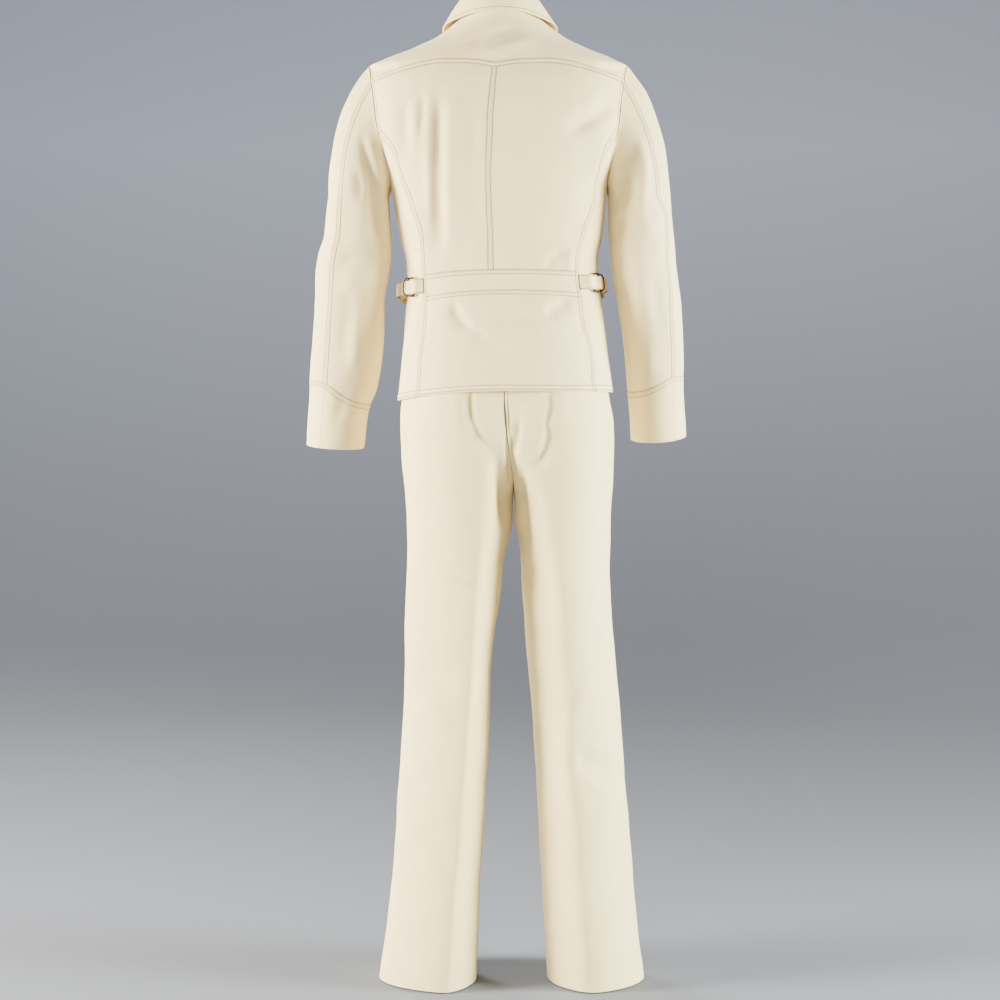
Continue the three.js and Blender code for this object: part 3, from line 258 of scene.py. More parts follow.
STRAP_RUN = table(
    "share turn left right drop",
    (0, -42, 3.2, 3.2, 14),
    (0.12, -28, 8, 5, 13),
    (0.24, -12, 13, 7.5, 11),
    (0.34, 2, 10, 5.5, 6),
    (0.42, 11, 3.5, 3.5, 1),
    (0.47, 18.5, 3.4, 3.4, 0),
    (0.487, 21, 4.1, 4.1, 0),
    (0.5, 21.7, 5.5, 5.5, 0),
    (0.513, 21, 6.9, 6.9, 0),
    (0.53, 18.5, 7.6, 7.6, 0),
    (0.6, 11, 8, 7.8, 0),
    (0.69, 2, 15, 10.5, 1),
    (0.8, -9, 20.5, 13.5, 3),
    (0.9, -19, 20.5, 13, 5),
    (1, -28, 17, 11, 7),
)
TAB_RUN = table(
    "share turn lift",
    (0, 37, 2.1), (0.2, 34, 6), (0.4, 30, 10.9), (0.52, 26.5, 10.9), (0.62, 24.3, 9.2),
    (0.69, 23.6, 5.2), (0.76, 24.3, 2), (0.84, 26.5, 1.1), (1, 31.5, 1.1),
)

# Folds of the worn cloth. Each runs from one point to another as seen from its side of the suit, with a
# sideways bow, a height that is negative in a trough, and a width to its left and to its right. `face` is 1
# where it lies on the back and -1 on the front.
FOLD_COLUMNS = "x1 z1 x2 z2 bow height left right face"
JACKET_FOLDS = table(
    FOLD_COLUMNS,
    # the long soft folds below the left shoulder blade
    (149, -170, 148, -262, -3, -3.2, 9, 11, 1),
    (137, -172, 136, -250, 2, 1.6, 6, 6, 1),
    (122, -158, 124, -226, 2, -1.6, 6, 5, 1),
    (111, -150, 109, -390, -2, 2.6, 9, 8, 1),
    (96, -160, 93, -410, 1, -3.9, 10, 14, 1),
    (70, -160, 74, -410, -8, 2.2, 12, 14, 1),
    (45, -150, 42, -400, 4, -1.6, 14, 16, 1),
    (138, -330, 118, -440, 4, 2.2, 14, 14, 1),
    # the drag from the right armhole, and the break above the belt
    (-196, -164, -112, -222, 6, -5, 12, 17, 1),
    (-182, -214, -150, -300, 4, 3.2, 16, 18, 1),
    (-78, -442, -112, -416, 2, -2.4, 7, 8, 1),
    (-122, -408, -116, -450, 2, 2, 9, 9, 1),
    # the yoke's drag lines
    (42, -100, -62, -68, 3, 2.6, 9, 11, 1),
    (60, -76, -40, -46, 3, -2, 9, 10, 1),
    (210, -114, 166, -108, 1, -2.6, 5, 8, 1),
    (-168, -108, -206, -114, 1, -2.6, 5, 8, 1),
    # the belt's small breaks and the swag under it
    (-49, -455, -50, -478, 0, -0.8, 5, 5, 1),
    (40, -456, 41, -480, 0, -0.6, 5, 6, 1),
    (74, -502, 38, -545, -5, -4.2, 8, 14, 1),
    (40, -545, -14, -574, -4, -3, 8, 15, 1),
    (-122, -497, -78, -522, -4, -3.6, 14, 7, 1),
    (-78, -522, 8, -530, -5, -3.8, 14, 7, 1),
    (60, -498, -100, -500, -12, 1.8, 12, 12, 1),
    (118, -500, 128, -560, 3, -1.8, 8, 9, 1),
    (-140, -500, -152, -560, -3, -1.8, 8, 9, 1),
    # the fronts: drags from the points of the shoulders, and breaks over the closing
    (150, -200, 96, -330, 10, -2.6, 14, 16, -1),
    (-150, -200, -100, -320, -10, -2.4, 14, 16, -1),
    (118, -190, 84, -300, 6, 2, 12, 14, -1),
    (-116, -196, -86, -300, -6, 2, 12, 14, -1),
    (20, -330, 128, -400, -8, -2, 10, 14, -1),
    (-30, -340, -126, -392, 8, -2, 10, 14, -1),
    (24, -446, 138, -470, -8, -2.2, 10, 12, -1),
    (-30, -450, -146, -468, 8, -2, 10, 12, -1),
    (70, -500, 80, -620, 4, 2.2, 18, 18, -1),
    (-86, -500, -96, -620, -4, 2, 18, 18, -1),
)
SLEEVE_FOLDS = table(
    FOLD_COLUMNS,
    # the left sleeve
    (220, -222, 196, -400, 4, -5.5, 10, 8, 1),
    (203, -250, 184, -412, 3, 4.2, 8, 9, 1),
    (214, -222, 204, -290, 0, 2.9, 8, 8, 1),
    (230, -280, 226, -330, 0, -2.9, 9, 9, 1),
    (268, -300, 276, -440, 3, 2.3, 13, 15, 1),
    (190, -412, 262, -438, -6, -3.1, 10, 13, 1),
    (202, -452, 256, -470, -5, 2.3, 12, 12, 1),
    (248, -470, 258, -600, 5, -2.1, 14, 16, 1),
    (226, -510, 236, -610, -4, 2.1, 12, 14, 1),
    (255, -650, 275, -700, 3, -1.6, 10, 12, 1),
    (250, -300, 204, -380, 8, -3.9, 12, 14, -1),
    (282, -400, 210, -452, 8, -4.4, 12, 13, -1),
    (286, -452, 214, -486, 7, 3.1, 12, 12, -1),
    (262, -520, 232, -610, 6, -2.6, 14, 14, -1),
    # the right sleeve
    (-222, -290, -186, -352, 6, -5.5, 12, 11, 1),
    (-238, -228, -236, -350, 6, 3.9, 11, 10, 1),
    (-206, -360, -198, -402, 2, -3.1, 10, 10, 1),
    (-232, -340, -252, -392, 4, 3.1, 10, 10, 1),
    (-236, -408, -246, -520, -4, 2.3, 15, 15, 1),
    (-214, -470, -228, -610, -4, -3.4, 12, 14, 1),
    (-262, -440, -276, -560, -3, -1.8, 12, 12, 1),
    (-250, -560, -256, -620, 2, 1.6, 12, 12, 1),
    (-250, -280, -206, -372, -8, -3.9, 12, 14, -1),
    (-284, -392, -212, -440, -8, -4.4, 12, 13, -1),
    (-290, -444, -222, -476, -7, 3.1, 12, 12, -1),
    (-270, -520, -240, -610, -6, -2.6, 14, 14, -1),
)
TROUSER_FOLDS = table(
    FOLD_COLUMNS,
    # the seat
    (42, -640, 37, -704, -3, -3.8, 5, 11, 1),
    (38, -698, -14, -744, -9, -4.2, 5, 18, 1),
    (62, -640, 58, -716, -4, 1.6, 12, 10, 1),
    (10, -655, 4, -716, 2, 1.6, 10, 10, 1),
    (-82, -640, -81, -700, 4, -3.8, 11, 5, 1),
    (-81, -694, -58, -772, 9, -4.2, 14, 5, 1),
    (-104, -640, -100, -712, 4, 1.6, 10, 12, 1),
    (-37, -694, -29, -742, 1, -2.4, 5, 7, 1),
    (-46, -660, -50, -716, 2, 1.4, 9, 9, 1),
    # the seat seam, drawn in
    (-11, -636, -19, -716, 0, -2.4, 5, 2.5, 1),
    (-20, -716, -26, -800, 0, -4, 9, 7, 1),
    # and the hollows of the inner thighs
    (0, -752, -18, -872, 4, -9, 9, 13, 1),
    (-40, -770, -50, -906, -2, -5, 7, 7, 1),
    # the legs, behind
    (112, -955, 28, -966, 0, -1.4, 2.4, 6, 1),
    (112, -946, 28, -956, 0, 0.8, 5, 3, 1),
    (146, -1102, 62, -1142, 6, -3, 13, 17, 1),
    (136, -1158, 74, -1206, 6, 2.4, 17, 19, 1),
    (150, -1290, 128, -1304, 2, -1.8, 8, 10, 1),
    (120, -1360, 70, -1420, 5, -1.8, 18, 20, 1),
    (-132, -1240, -190, -1268, -6, -3.4, 15, 16, 1),
    (-112, -1180, -128, -1330, -6, 2.2, 17, 19, 1),
    (-186, -1290, -160, -1400, 6, 2, 18, 20, 1),
    (-66, -1180, -82, -1320, -5, -2, 13, 17, 1),
    (-160, -1090, -130, -1160, 4, 2.4, 16, 16, 1),
    (-60, -930, -100, -1010, -4, -1.6, 15, 16, 1),
    # and in front
    (120, -700, 30, -790, 10, -3, 12, 14, -1),
    (-150, -700, -56, -790, -10, -3, 12, 14, -1),
    (70, -690, 16, -772, 8, 2.4, 10, 12, -1),
    (-96, -690, -40, -772, -8, 2.4, 10, 12, -1),
    (140, -1110, 50, -1150, 8, -3, 14, 17, -1),
    (-180, -1120, -84, -1160, -8, -3, 14, 17, -1),
    (140, -1180, 60, -1216, 8, 2.2, 16, 16, -1),
    (-190, -1190, -90, -1226, -8, 2.2, 16, 16, -1),
)

# ---- Small tools ----


def mix(a, b, t):
    """The value a share t of the way from a to b."""
    return a + (b - a) * t


def smooth(value, low, high):
    """0 below low, 1 above high, and 3t^2 - 2t^3 between."""
    t = np.clip((value - low) / (high - low), 0, 1)
    return t * t * (3 - 2 * t)


def signed_power(value, power):
    """The power of the size of a value, with the value's own sign."""
    return np.sign(value) * np.abs(value) ** power


def unit(vectors):
    """The same vectors, each of length 1."""
    return vectors / np.maximum(np.linalg.norm(vectors, axis=-1, keepdims=True), 1e-9)


def xyz(x, y, z):
    """Points from three arrays of coordinates, or single ones."""
    return np.stack(np.broadcast_arrays(x, y, z), -1).astype(float)


def cubic(start, end, leave, arrive, t):
    """The cubic from start to end that has given slopes at both."""
    first = start * (1 + 2 * t) * (1 - t) ** 2 + leave * t * (1 - t) ** 2
    return first + end * t * t * (3 - 2 * t) + arrive * t * t * (t - 1)


def through(columns, key, name):
    """A cubic curve through one column of a table. Its slope at a row is the harmonic mean of the rises on
    both sides, and 0 where they differ in sign, so that it never passes its rows' values."""
    order = np.argsort(columns[key])
    at, value = columns[key][order], columns[name][order]
    rise = np.diff(value) / np.diff(at)
    product = rise[:-1] * rise[1:]
    total = np.where(product > 0, rise[:-1] + rise[1:], 1)
    slope = np.concatenate([rise[:1], np.where(product > 0, 2 * product / total, 0), rise[-1:]])

    def curve(x):
        x = np.clip(x, at[0], at[-1])
        i = np.clip(np.searchsorted(at, x, side="left") - 1, 0, len(at) - 2)
        span = at[i + 1] - at[i]
        t = (x - at[i]) / span
        return cubic(value[i], value[i + 1], slope[i] * span, slope[i + 1] * span, t)

    return curve


def curves(columns, key):
    """A curve through every other column of a table, by name."""
    return {name: through(columns, key, name) for name in columns if name != key}


EDGE_SAMPLES = 24  # in each step of an edge
FAR = 1000.0  # the distance given to what is away from an edge


def edge(*runs):
    """An edge of a panel as a run of places. Each part of it is a function of 0 to 1 that gives a place's
    two numbers, with the number of steps that it takes of the whole edge."""
    parts = []
    for place_at, count in runs:
        t = np.linspace(0, 1, EDGE_SAMPLES * count + 1)
        first, second = place_at(t)
        part = np.stack(np.broadcast_arrays(first, second), -1).astype(float)
        parts.append(part if not parts else part[1:])
    return np.concatenate(parts)


def placed(line, run, at):
    """The points at given lengths along a line, where `run` is the length at each of its own points."""
    return np.stack([np.interp(at, run, column) for column in line.T], -1)


def length_along(points, axis=0):
    """How far each point is along its line, or along its row or column of a grid."""
    steps = np.linalg.norm(np.diff(points, axis=axis), axis=-1)
    return np.concatenate([np.zeros_like(np.take(steps, [0], axis)), np.cumsum(steps, axis)], axis)


def along(places, t):
    """The places at shares t of an edge."""
    return placed(places, np.linspace(0, 1, len(places)), t)


def filled(bottom, top, left, right, share=None):
    """A layout of places inside four edges: the mix of the bottom and top edges by v, plus the mix of the
    left and right edges by u, less the mix of the four corners. `share` may place the columns by u."""
    def layout(u, v):
        aside = (u if share is None else share(u))[..., None]
        up = v[..., None]
        corners = mix(mix(bottom[0], bottom[-1], aside), mix(top[0], top[-1], aside), up)
        rows = mix(along(bottom, u), along(top, u), up)
        columns = mix(along(left, v), along(right, v), aside)
        return rows + columns - corners

    return layout


def facing(surface, places):
    """The unit way out of a surface at places on it: a small step across, crossed with a small step up."""
    a, b = places[..., 0], places[..., 1]
    across = surface(a + 0.5, b) - surface(a - 0.5, b)
    return unit(np.cross(across, surface(a, b + 0.5) - surface(a, b - 0.5)))


def by_side(side, first, second):
    """Two things in order across the suit: as they are on the wearer's left, and swapped on the right."""
    return (first, second) if side > 0 else (second, first)


# ---- Materials ----


class Wiring:
    """Adds nodes to a node tree, and joins them to values or to other nodes' outputs."""

    def __init__(self, tree):
        self.tree = tree

    def put(self, socket, value):
        """Joins a socket to another node's output, or gives it a value: three numbers for a colour."""
        if isinstance(value, bpy.types.NodeSocket):
            self.tree.links.new(value, socket)
        else:
            socket.default_value = (*value, 1.0) if socket.type == "RGBA" else value

    def node(self, kind, settings=None, **inputs):
        """A node of a kind, with its settings, and its inputs by name, or by number as i0, i1 and so on."""
        node = self.tree.nodes.new(kind)
        for name, value in (settings or {}).items():
            setattr(node, name, value)
        for name, value in inputs.items():
            self.put(node.inputs[int(name[1:]) if name[1:].isdigit() else name.replace("_", " ")], value)
        return node

    def math(self, operation, first, second=0.0):
        """One sum, product, sine and so on."""
        return self.node("ShaderNodeMath", {"operation": operation}, i0=first, i1=second).outputs[0]

    def blend(self, amount, first, second):
        """A mix of two colours by an amount."""
        return self.node("ShaderNodeMix", {"data_type": "RGBA"}, i0=amount, i6=first, i7=second).outputs[2]

    def noise(self, vector, scale, detail, roughness):
        """Smooth noise from 0 to 1."""
        return self.node("ShaderNodeTexNoise", None, Vector=vector, Scale=scale, Detail=detail,
                         Roughness=roughness).outputs[0]

    def ramp(self, value, low, high, first=0.0, second=1.0):
        """A value carried from one range to another, and held at its ends."""
        return self.node("ShaderNodeMapRange", None, Value=value, From_Min=low, From_Max=high, To_Min=first,
                         To_Max=second).outputs[0]

    def bump(self, strength, distance, height):
        """A normal bent by a height."""
        return self.node("ShaderNodeBump", None, Strength=strength, Distance=distance,
                         Height=height).outputs[0]

    def space(self):
        """The place in the piece's own space, which is the suit's."""
        return self.node("ShaderNodeTexCoord").outputs["Object"]


def new_group(name, outputs, **inputs):
    """A node group that takes a place and some values, each with its usual size, and puts out values."""
    group = bpy.data.node_groups.new(name, "ShaderNodeTree")
    group.interface.new_socket("Place", in_out="INPUT", socket_type="NodeSocketVector")
    for label, usual in inputs.items():
        socket = group.interface.new_socket(label, in_out="INPUT", socket_type="NodeSocketFloat")
        socket.default_value = usual
    for label in outputs:
        group.interface.new_socket(label, in_out="OUTPUT", socket_type="NodeSocketFloat")
    wire = Wiring(group)
    return group, wire, wire.node("NodeGroupInput").outputs, wire.node("NodeGroupOutput").inputs


WHOLE_TURN = 6.2832  # in radians
# how far the threads lean, how much finer they are than the ribs, and how far the slubs are drawn out
TWILL_DRAW = {"across": 0.2, "fine": 2.0, "long": 9.0}


def twill_weave():
    """Twill cloth by its place on the cut, in metres: the sine of slanting ribs, the sine of the finer
    threads in them, and slubs, which are noise drawn out along the threads both ways. Out come their sum as
    a height, and the slubs as a light-and-dark mask."""
    group, wire, given, out = new_group("twill_weave", ("Height", "Shade"), Rib=0.0011, Slub=1.0)
    place = wire.node("ShaderNodeSeparateXYZ", None, Vector=given["Place"]).outputs
    across, up = place["X"], place["Y"]
    turns = wire.math("DIVIDE", WHOLE_TURN, given["Rib"])
    rib = wire.math("SINE", wire.math("MULTIPLY", wire.math("ADD", across, up), turns))
    lean = wire.math("SUBTRACT", up, wire.math("MULTIPLY", across, TWILL_DRAW["across"]))
    fine = wire.math("SINE", wire.math("MULTIPLY", lean, wire.math("MULTIPLY", turns, TWILL_DRAW["fine"])))

    def slub(x, y, scale):
        return wire.noise(wire.node("ShaderNodeCombineXYZ", None, X=x, Y=y).outputs[0], scale, 3.0, 0.6)

    upright = slub(wire.math("MULTIPLY", across, TWILL_DRAW["long"]), up, 70.0)
    level = slub(across, wire.math("MULTIPLY", up, TWILL_DRAW["long"]), 60.0)
    slubs = wire.math("MULTIPLY", wire.math("ADD", upright, level), given["Slub"])
    ribs = wire.math("ADD", wire.math("MULTIPLY", rib, 0.5), wire.math("MULTIPLY", fine, 0.25))
    wire.put(out["Height"], wire.math("ADD", ribs, slubs))
    wire.put(out["Shade"], wire.ramp(slubs, 0.6, 1.4))
    return group


def handling_wear():
    """Soft clouds of tone where cloth or metal has been handled: two noises over the suit's own space, a
    broad one and a fine one, as masks from 0 to 1."""
    group, wire, given, out = new_group("handling_wear", ("Cloud", "Speck"), Broad=6.0, Fine=60.0)
    wire.put(out["Cloud"], wire.ramp(wire.noise(given["Place"], given["Broad"], 2.0, 0.5), 0.3, 0.7))
    wire.put(out["Speck"], wire.ramp(wire.noise(given["Place"], given["Fine"], 4.0, 0.6), 0.35, 0.65))
    return group


TWILL = twill_weave()
HANDLED = handling_wear()


def new_material(name, **constants):
    """A material with one Principled shader, whose plain values are set on its own sockets."""
    material = bpy.data.materials.new(name)
    material.use_nodes = True
    shader = material.node_tree.nodes["Principled BSDF"].inputs
    for label, value in constants.items():
        shader[label.replace("_", " ")].default_value = value
    return material, Wiring(material.node_tree), shader


def use_group(wire, group, **inputs):
    """A group placed in a material with its own values."""
    return wire.node("ShaderNodeGroup", {"node_tree": group}, **inputs).outputs


# the dim tone of the slubs and specks, and also of the painted shade in stitched rows' valleys and at rolled
# rims
DIM_CLOTH = (0.42, 0.32, 0.17)


def cloth(name, pale, warm):
    """Cream cotton twill: a pale colour clouded with a warmer one and, in the slubs, with a dimmer one.
    Painted shade makes it dimmer still in each stitched row's valley and round each panel's rolled rim. Its
    soft bloom is a sheen."""
    material, wire, shader = new_material(name, Roughness=0.86, Specular_IOR_Level=0.22, Sheen_Weight=0.22,
                                          Sheen_Roughness=0.5)
    cut = wire.node("ShaderNodeUVMap", {"uv_map": "cut"}).outputs[0]
    twill = use_group(wire, TWILL, Place=cut, Rib=0.0012, Slub=1.0)
    clouds = use_group(wire, HANDLED, Place=wire.space(), Broad=5.0, Fine=90.0)
    # painted shade: a mask of the stitched rows' valleys and the panels' rolled rims, which draws the colour
    # toward the dim tone
    painted_dip_shade = wire.node("ShaderNodeAttribute", {"attribute_name": "painted_dip_shade"}).outputs["Fac"]
    tone = wire.blend(wire.math("MULTIPLY", clouds["Cloud"], 0.6), pale, warm)
    for mask, share in ((twill["Shade"], 0.16), (clouds["Speck"], 0.07), (painted_dip_shade, 0.8)):
        tone = wire.blend(wire.math("MULTIPLY", mask, share), tone, DIM_CLOTH)
    wire.put(shader["Base Color"], tone)
    wire.put(shader["Roughness"], wire.ramp(clouds["Cloud"], 0.0, 1.0, 0.8, 0.92))
    wire.put(shader["Normal"], wire.bump(0.35, 0.0003, twill["Height"]))
    return material


def clouded(name, tones, broad, fine, speck, roughness=None, bump=None, **constants):
    """A hard or fine stuff: one tone clouded with another, and specked with a third by a share. Its
    roughness may run between two values by one of its masks, and its specks may stand up."""
    material, wire, shader = new_material(name, **constants)
    clouds = use_group(wire, HANDLED, Place=wire.space(), Broad=broad, Fine=fine)
    tone = wire.blend(clouds["Cloud"], *tones[:2])
    wire.put(shader["Base Color"], wire.blend(wire.math("MULTIPLY", clouds["Speck"], speck), tone, tones[2]))
    if roughness:
        mask, *ends = roughness
        wire.put(shader["Roughness"], wire.ramp(clouds[mask], 0.0, 1.0, *ends))
    if bump:
        wire.put(shader["Normal"], wire.bump(*bump, clouds["Speck"]))
    return material


materials = {
    "jacket_cloth": cloth("jacket_cloth", (0.86, 0.7, 0.35), (0.86, 0.68, 0.31)),
    "trouser_cloth": cloth("trousers_cloth", (0.845, 0.695, 0.33), (0.835, 0.67, 0.29)),
    # thick taupe sewing thread
    "thread": clouded(
        "thread", ((0.11, 0.098, 0.07), (0.16, 0.14, 0.1), (0.07, 0.055, 0.035)), 30.0, 400.0, 0.4,
        Roughness=0.7, Specular_IOR_Level=0.3, Sheen_Weight=0.1),
    # darkened brass wire, brighter and smoother where it has been rubbed
    "old_brass": clouded(
        "old_brass", ((0.016, 0.011, 0.007), (0.07, 0.045, 0.022), (0.01, 0.007, 0.005)), 130.0, 700.0, 0.5,
        roughness=("Cloud", 0.5, 0.28), bump=(0.25, 0.0002), Metallic=1.0),
    # polished pale horn with darker drifts in it
    "horn": clouded(
        "horn", ((0.62, 0.53, 0.38), (0.4, 0.3, 0.18), (0.3, 0.2, 0.12)), 110.0, 420.0, 0.3,
        roughness=("Speck", 0.25, 0.4), Roughness=0.3, Coat_Weight=0.3, Coat_Roughness=0.2),
}

# ---- The jacket body ----
# `turn` is in degrees: 0 the wearer's left flank, 90 the back, 180 the right flank, -90 or 270 the front.

body = curves(BODY_CUTS, "z")
back_seam = curves(BACK_SEAMS, "z")
yoke_edge = curves(YOKE_EDGE, "share")
leaf_edge = curves(LEAF_EDGE, "share")
HANG_HALF = 170  # how far from the middle a cut hangs by its whole sag


def body_form(turn, z):
    """A level cut is a superellipse with its own depth behind and before, moved aside as the suit leans.
    The wearer's left side hangs lower by the square of its distance from the middle."""
    angle = np.radians(turn)
    power = 2 / body["square"](z)
    depth = np.where(np.sin(angle) < 0, body["front"](z), body["back"](z))
    x = body["half"](z) * signed_power(np.cos(angle), power)
    hang = body["sag"](z) * (np.maximum(x, 0) / HANG_HALF) ** 2
    return xyz(body["shift"](z) + x, depth * signed_power(np.sin(angle), power), z - hang)


def lifted(turn, z, lift):
    """Points of the jacket body, moved straight out from it."""
    turn, z = np.broadcast_arrays(np.asarray(turn, float), np.asarray(z, float))
    places = np.stack([turn, z], -1)
    return body_form(turn, z) + facing(body_form, places) * np.asarray(lift, float)[..., None]


def turn_at(x, z):
    """The turn at which the back of the cut at height z has the sideways distance x."""
    share = np.clip(x / body["half"](z), -1, 1)
    return np.degrees(np.arccos(signed_power(share, body["square"](z) / 2)))


def from_side(side, turn):
    """A turn given from one side's flank, as a turn round the whole body."""
    return turn if side > 0 else 180 - turn


def armhole(side, round_):
    """A place on one armhole: degrees from the shoulder point, down the back and up the front."""
    angle = np.radians(round_)
    reach = np.where(np.sin(angle) >= 0, ARMHOLE["back"], ARMHOLE["front"])
    turn = reach * signed_power(np.sin(angle), ARMHOLE["round"])
    return from_side(side, turn), ARMHOLE["middle"] + ARMHOLE["reach"] * np.cos(angle)


def armhole_run(side, start, end):
    """A stretch of one armhole as a function of 0 to 1."""
    return lambda t: armhole(side, mix(start, end, t))


def neck_level(turn):
    """The height of the neck seam: a small rise behind and a deep drop in front."""
    rise = np.sin(np.radians(turn))
    drop = NECK_FRONT_DROP * np.maximum(-rise, 0) ** NECK_FRONT_POWER
    return np.where(rise >= 0, NECK_SIDE + NECK_BACK_RISE * rise, NECK_SIDE - drop)


def belt_top(turn):
    """The height of the belt's upper edge."""
    return BELT_TOP - BELT_HANG["top"] * np.cos(np.radians(turn)) ** 2


def belt_bottom(turn):
    """The height of the belt's lower edge."""
    return BELT_BOTTOM - BELT_HANG["bottom"] * np.cos(np.radians(turn)) ** 2


def centre_turn(z):
    """The turn of the centre back seam."""
    return turn_at(back_seam["centre"](z), z)


def centre_seam(t):
    """The centre back seam, from the belt up to the yoke's point."""
    level = mix(BELT_TOP, YOKE_POINT, t)
    return centre_turn(level), level


def side_turn(side, z):
    """The turn of one side back seam."""
    return turn_at(back_seam["left"](z) if side > 0 else -back_seam["right"](z), z)


def yoke_place(side, share):
    """The yoke's lower edge on one side, 0 at the middle of the back and 1 at the armhole. There it takes
    the armhole's own turn."""
    turn, z = armhole(side, YOKE_END)
    end = body["half"](z) * signed_power(np.cos(np.radians(turn)), 2 / body["square"](z))
    level = yoke_edge["z"](share)
    x = mix(back_seam["centre"](YOKE_POINT), end, share)
    return np.where(share > 0.999, turn, turn_at(x, level)), level


def round_run(start, end, level):
    """A run round the body from one turn to another, at a height that depends on the turn."""
    def place(t):
        turn = mix(start, end, t)
        return turn, level(turn)

    return place


CENTRE_TOP = centre_turn(BELT_TOP)
CENTRE_BOTTOM = centre_turn(BELT_BOTTOM)
BELT_ENDS = {side: (side_turn(side, BELT_SIDE_TOP), side_turn(side, BELT_SIDE_BOTTOM)) for side in SIDES}
# How many steps each edge takes. Edges that meet at a seam take the same number.
BACK_STEPS = {"half": 7, "shoulder": 3, "neck": 8, "armhole": 3, "body": 4, "belt": 2, "skirt": 3}
SIDE_STEPS = {"wide": 6, "tall": 9}
FRONT_STEPS = {"lap": 2, "neck": 3, "shoulder": 3, "side": 9, "armhole": 6}


def side_back_upper(side):
    """One side back seam from the belt up to the armhole, eased over so that it ends on the armhole."""
    foot = belt_top(BELT_ENDS[side][0])
    end_turn, end_level = armhole(side, SIDE_BACK_START)
    ease = end_turn - side_turn(side, end_level)

    def place(t):
        level = mix(foot, end_level, t)
        return side_turn(side, level) + ease * t ** 3, level

    return place


def side_back_belt(side):
    """The belt's own stretch of one side back seam."""
    top, bottom = BELT_ENDS[side]
    return lambda t: (mix(bottom, top, t), mix(belt_bottom(bottom), belt_top(top), t))


def side_back_skirt(side):
    """One side back seam from the hem up to the belt."""
    head = belt_bottom(BELT_ENDS[side][1])

    def place(t):
        level = mix(HEM_LEVEL, head, t)
        return side_turn(side, level), level

    return place


def side_seam(side):
    """One side seam, from the hem up to the armhole."""
    top = armhole(side, SIDE_SEAM_START)[1]
    return lambda t: (from_side(side, SIDE_SEAM_TURN), mix(HEM_LEVEL, top, t))


def shoulder(side, start, end):
    """One shoulder seam, from a share of its length to another, 0 at the neck."""
    return lambda t: (from_side(side, 0), mix(NECK_SIDE, SHOULDER_TIP, mix(start, end, t)))


# ---- Sewing: edges with stitched rows, folds, and the closed shell of a panel ----

# What an edge does: the distances of its stitched rows, and how far it stands up between the seam and its
# last row, where a lapped edge stands higher.
PLAIN = {"rows": (), "stand": 0.0}
OPEN_SEAM = {"rows": (3.4,), "stand": 0.5}
HEM = {"rows": (3.3, 10.0), "stand": 0.5}
YOKE_LAP = {"rows": (1.4, 7.2), "stand": 0.9}
BELT_TOP_ABOVE = {"rows": (1.7,), "stand": 0.3}
BELT_TOP_BELOW = {"rows": (5.2,), "stand": 0.7}
BELT_FOOT_ABOVE = {"rows": (2.0,), "stand": 0.5}
BELT_FOOT_BELOW = {"rows": (4.6,), "stand": 0.4}
ARMHOLE_EDGE = {"rows": (3.6,), "stand": 0.3}
SLEEVE_HEAD = {"rows": (), "stand": 0.7}
COLLAR_EDGE = {"rows": (5.6,), "stand": 0.2}
STRAP_EDGE = {"rows": (1.9,), "stand": 0.15}

ROLL = {"width": 0.9, "depth": 0.55}  # an edge's round rim
DIP = {"depth": 0.5, "width": 0.9}  # the valley that a stitched row pulls into the cloth
PUFF = {"height": 0.22, "away": 2.6, "width": 2.2}  # the swell beside it
STAND_END = {"plain": 1.0, "from": -0.4, "to": 1.6}  # where an edge stops standing up, from its last row

# A mesh's lines beside an edge: round its rim, before each row, at it, and beyond it if there is room.
RIM_LINES = (SEAM_INSET, 0.4, 0.8, 1.3)
ROW_LINES = {"before": (-1.6, -0.75, -0.35), "at": (0, 0.4, 0.85, 1.6), "beyond": (2.8, 4.4)}
PLAIN_LINES = (2.2, 4)
LINE_ROOM = {"row": 0.7, "line": 0.15, "next_row": 1.8}


def band(kind):
    """The distances from an edge at which its panel's mesh has a line: round its rim and over its rows."""
    rows = kind["rows"]
    if not rows:
        return np.array([*RIM_LINES, *PLAIN_LINES])
    marks = [m for m in RIM_LINES if m < rows[0] - LINE_ROOM["row"]]
    for row, next_row in zip(rows, (*rows[1:], FAR)):
        marks += [row + m for m in ROW_LINES["before"] if row + m > marks[-1] + LINE_ROOM["line"]]
        marks += [row + m for m in ROW_LINES["at"]]
        marks += [row + m for m in ROW_LINES["beyond"] if row + m < next_row - LINE_ROOM["next_row"]]
    return np.array(marks)


def profile(kind, distance):
    """How far a panel's face stands off by its distance from one edge, as its raised and its sunk part. It
    is raised evenly as far as a little beyond the last row, and by a wide bell beside each row. It is sunk
    by a bell over each row, and by a quarter circle at the rim."""
    rows = kind["rows"]
    last = rows[-1] if rows else STAND_END["plain"]
    raised = kind["stand"] * (1 - smooth(distance, last + STAND_END["from"], last + STAND_END["to"]))
    sunk = 0 * distance
    for row in rows:
        sunk = sunk - DIP["depth"] * np.exp(-(((distance - row) / DIP["width"]) ** 2))
        raised = raised + PUFF["height"] * np.exp(-(((distance - row - PUFF["away"]) / PUFF["width"]) ** 2))
    rim = np.clip(1 - distance / ROLL["width"], 0, 1)
    return raised, sunk - ROLL["depth"] * (1 - np.sqrt(1 - rim * rim))


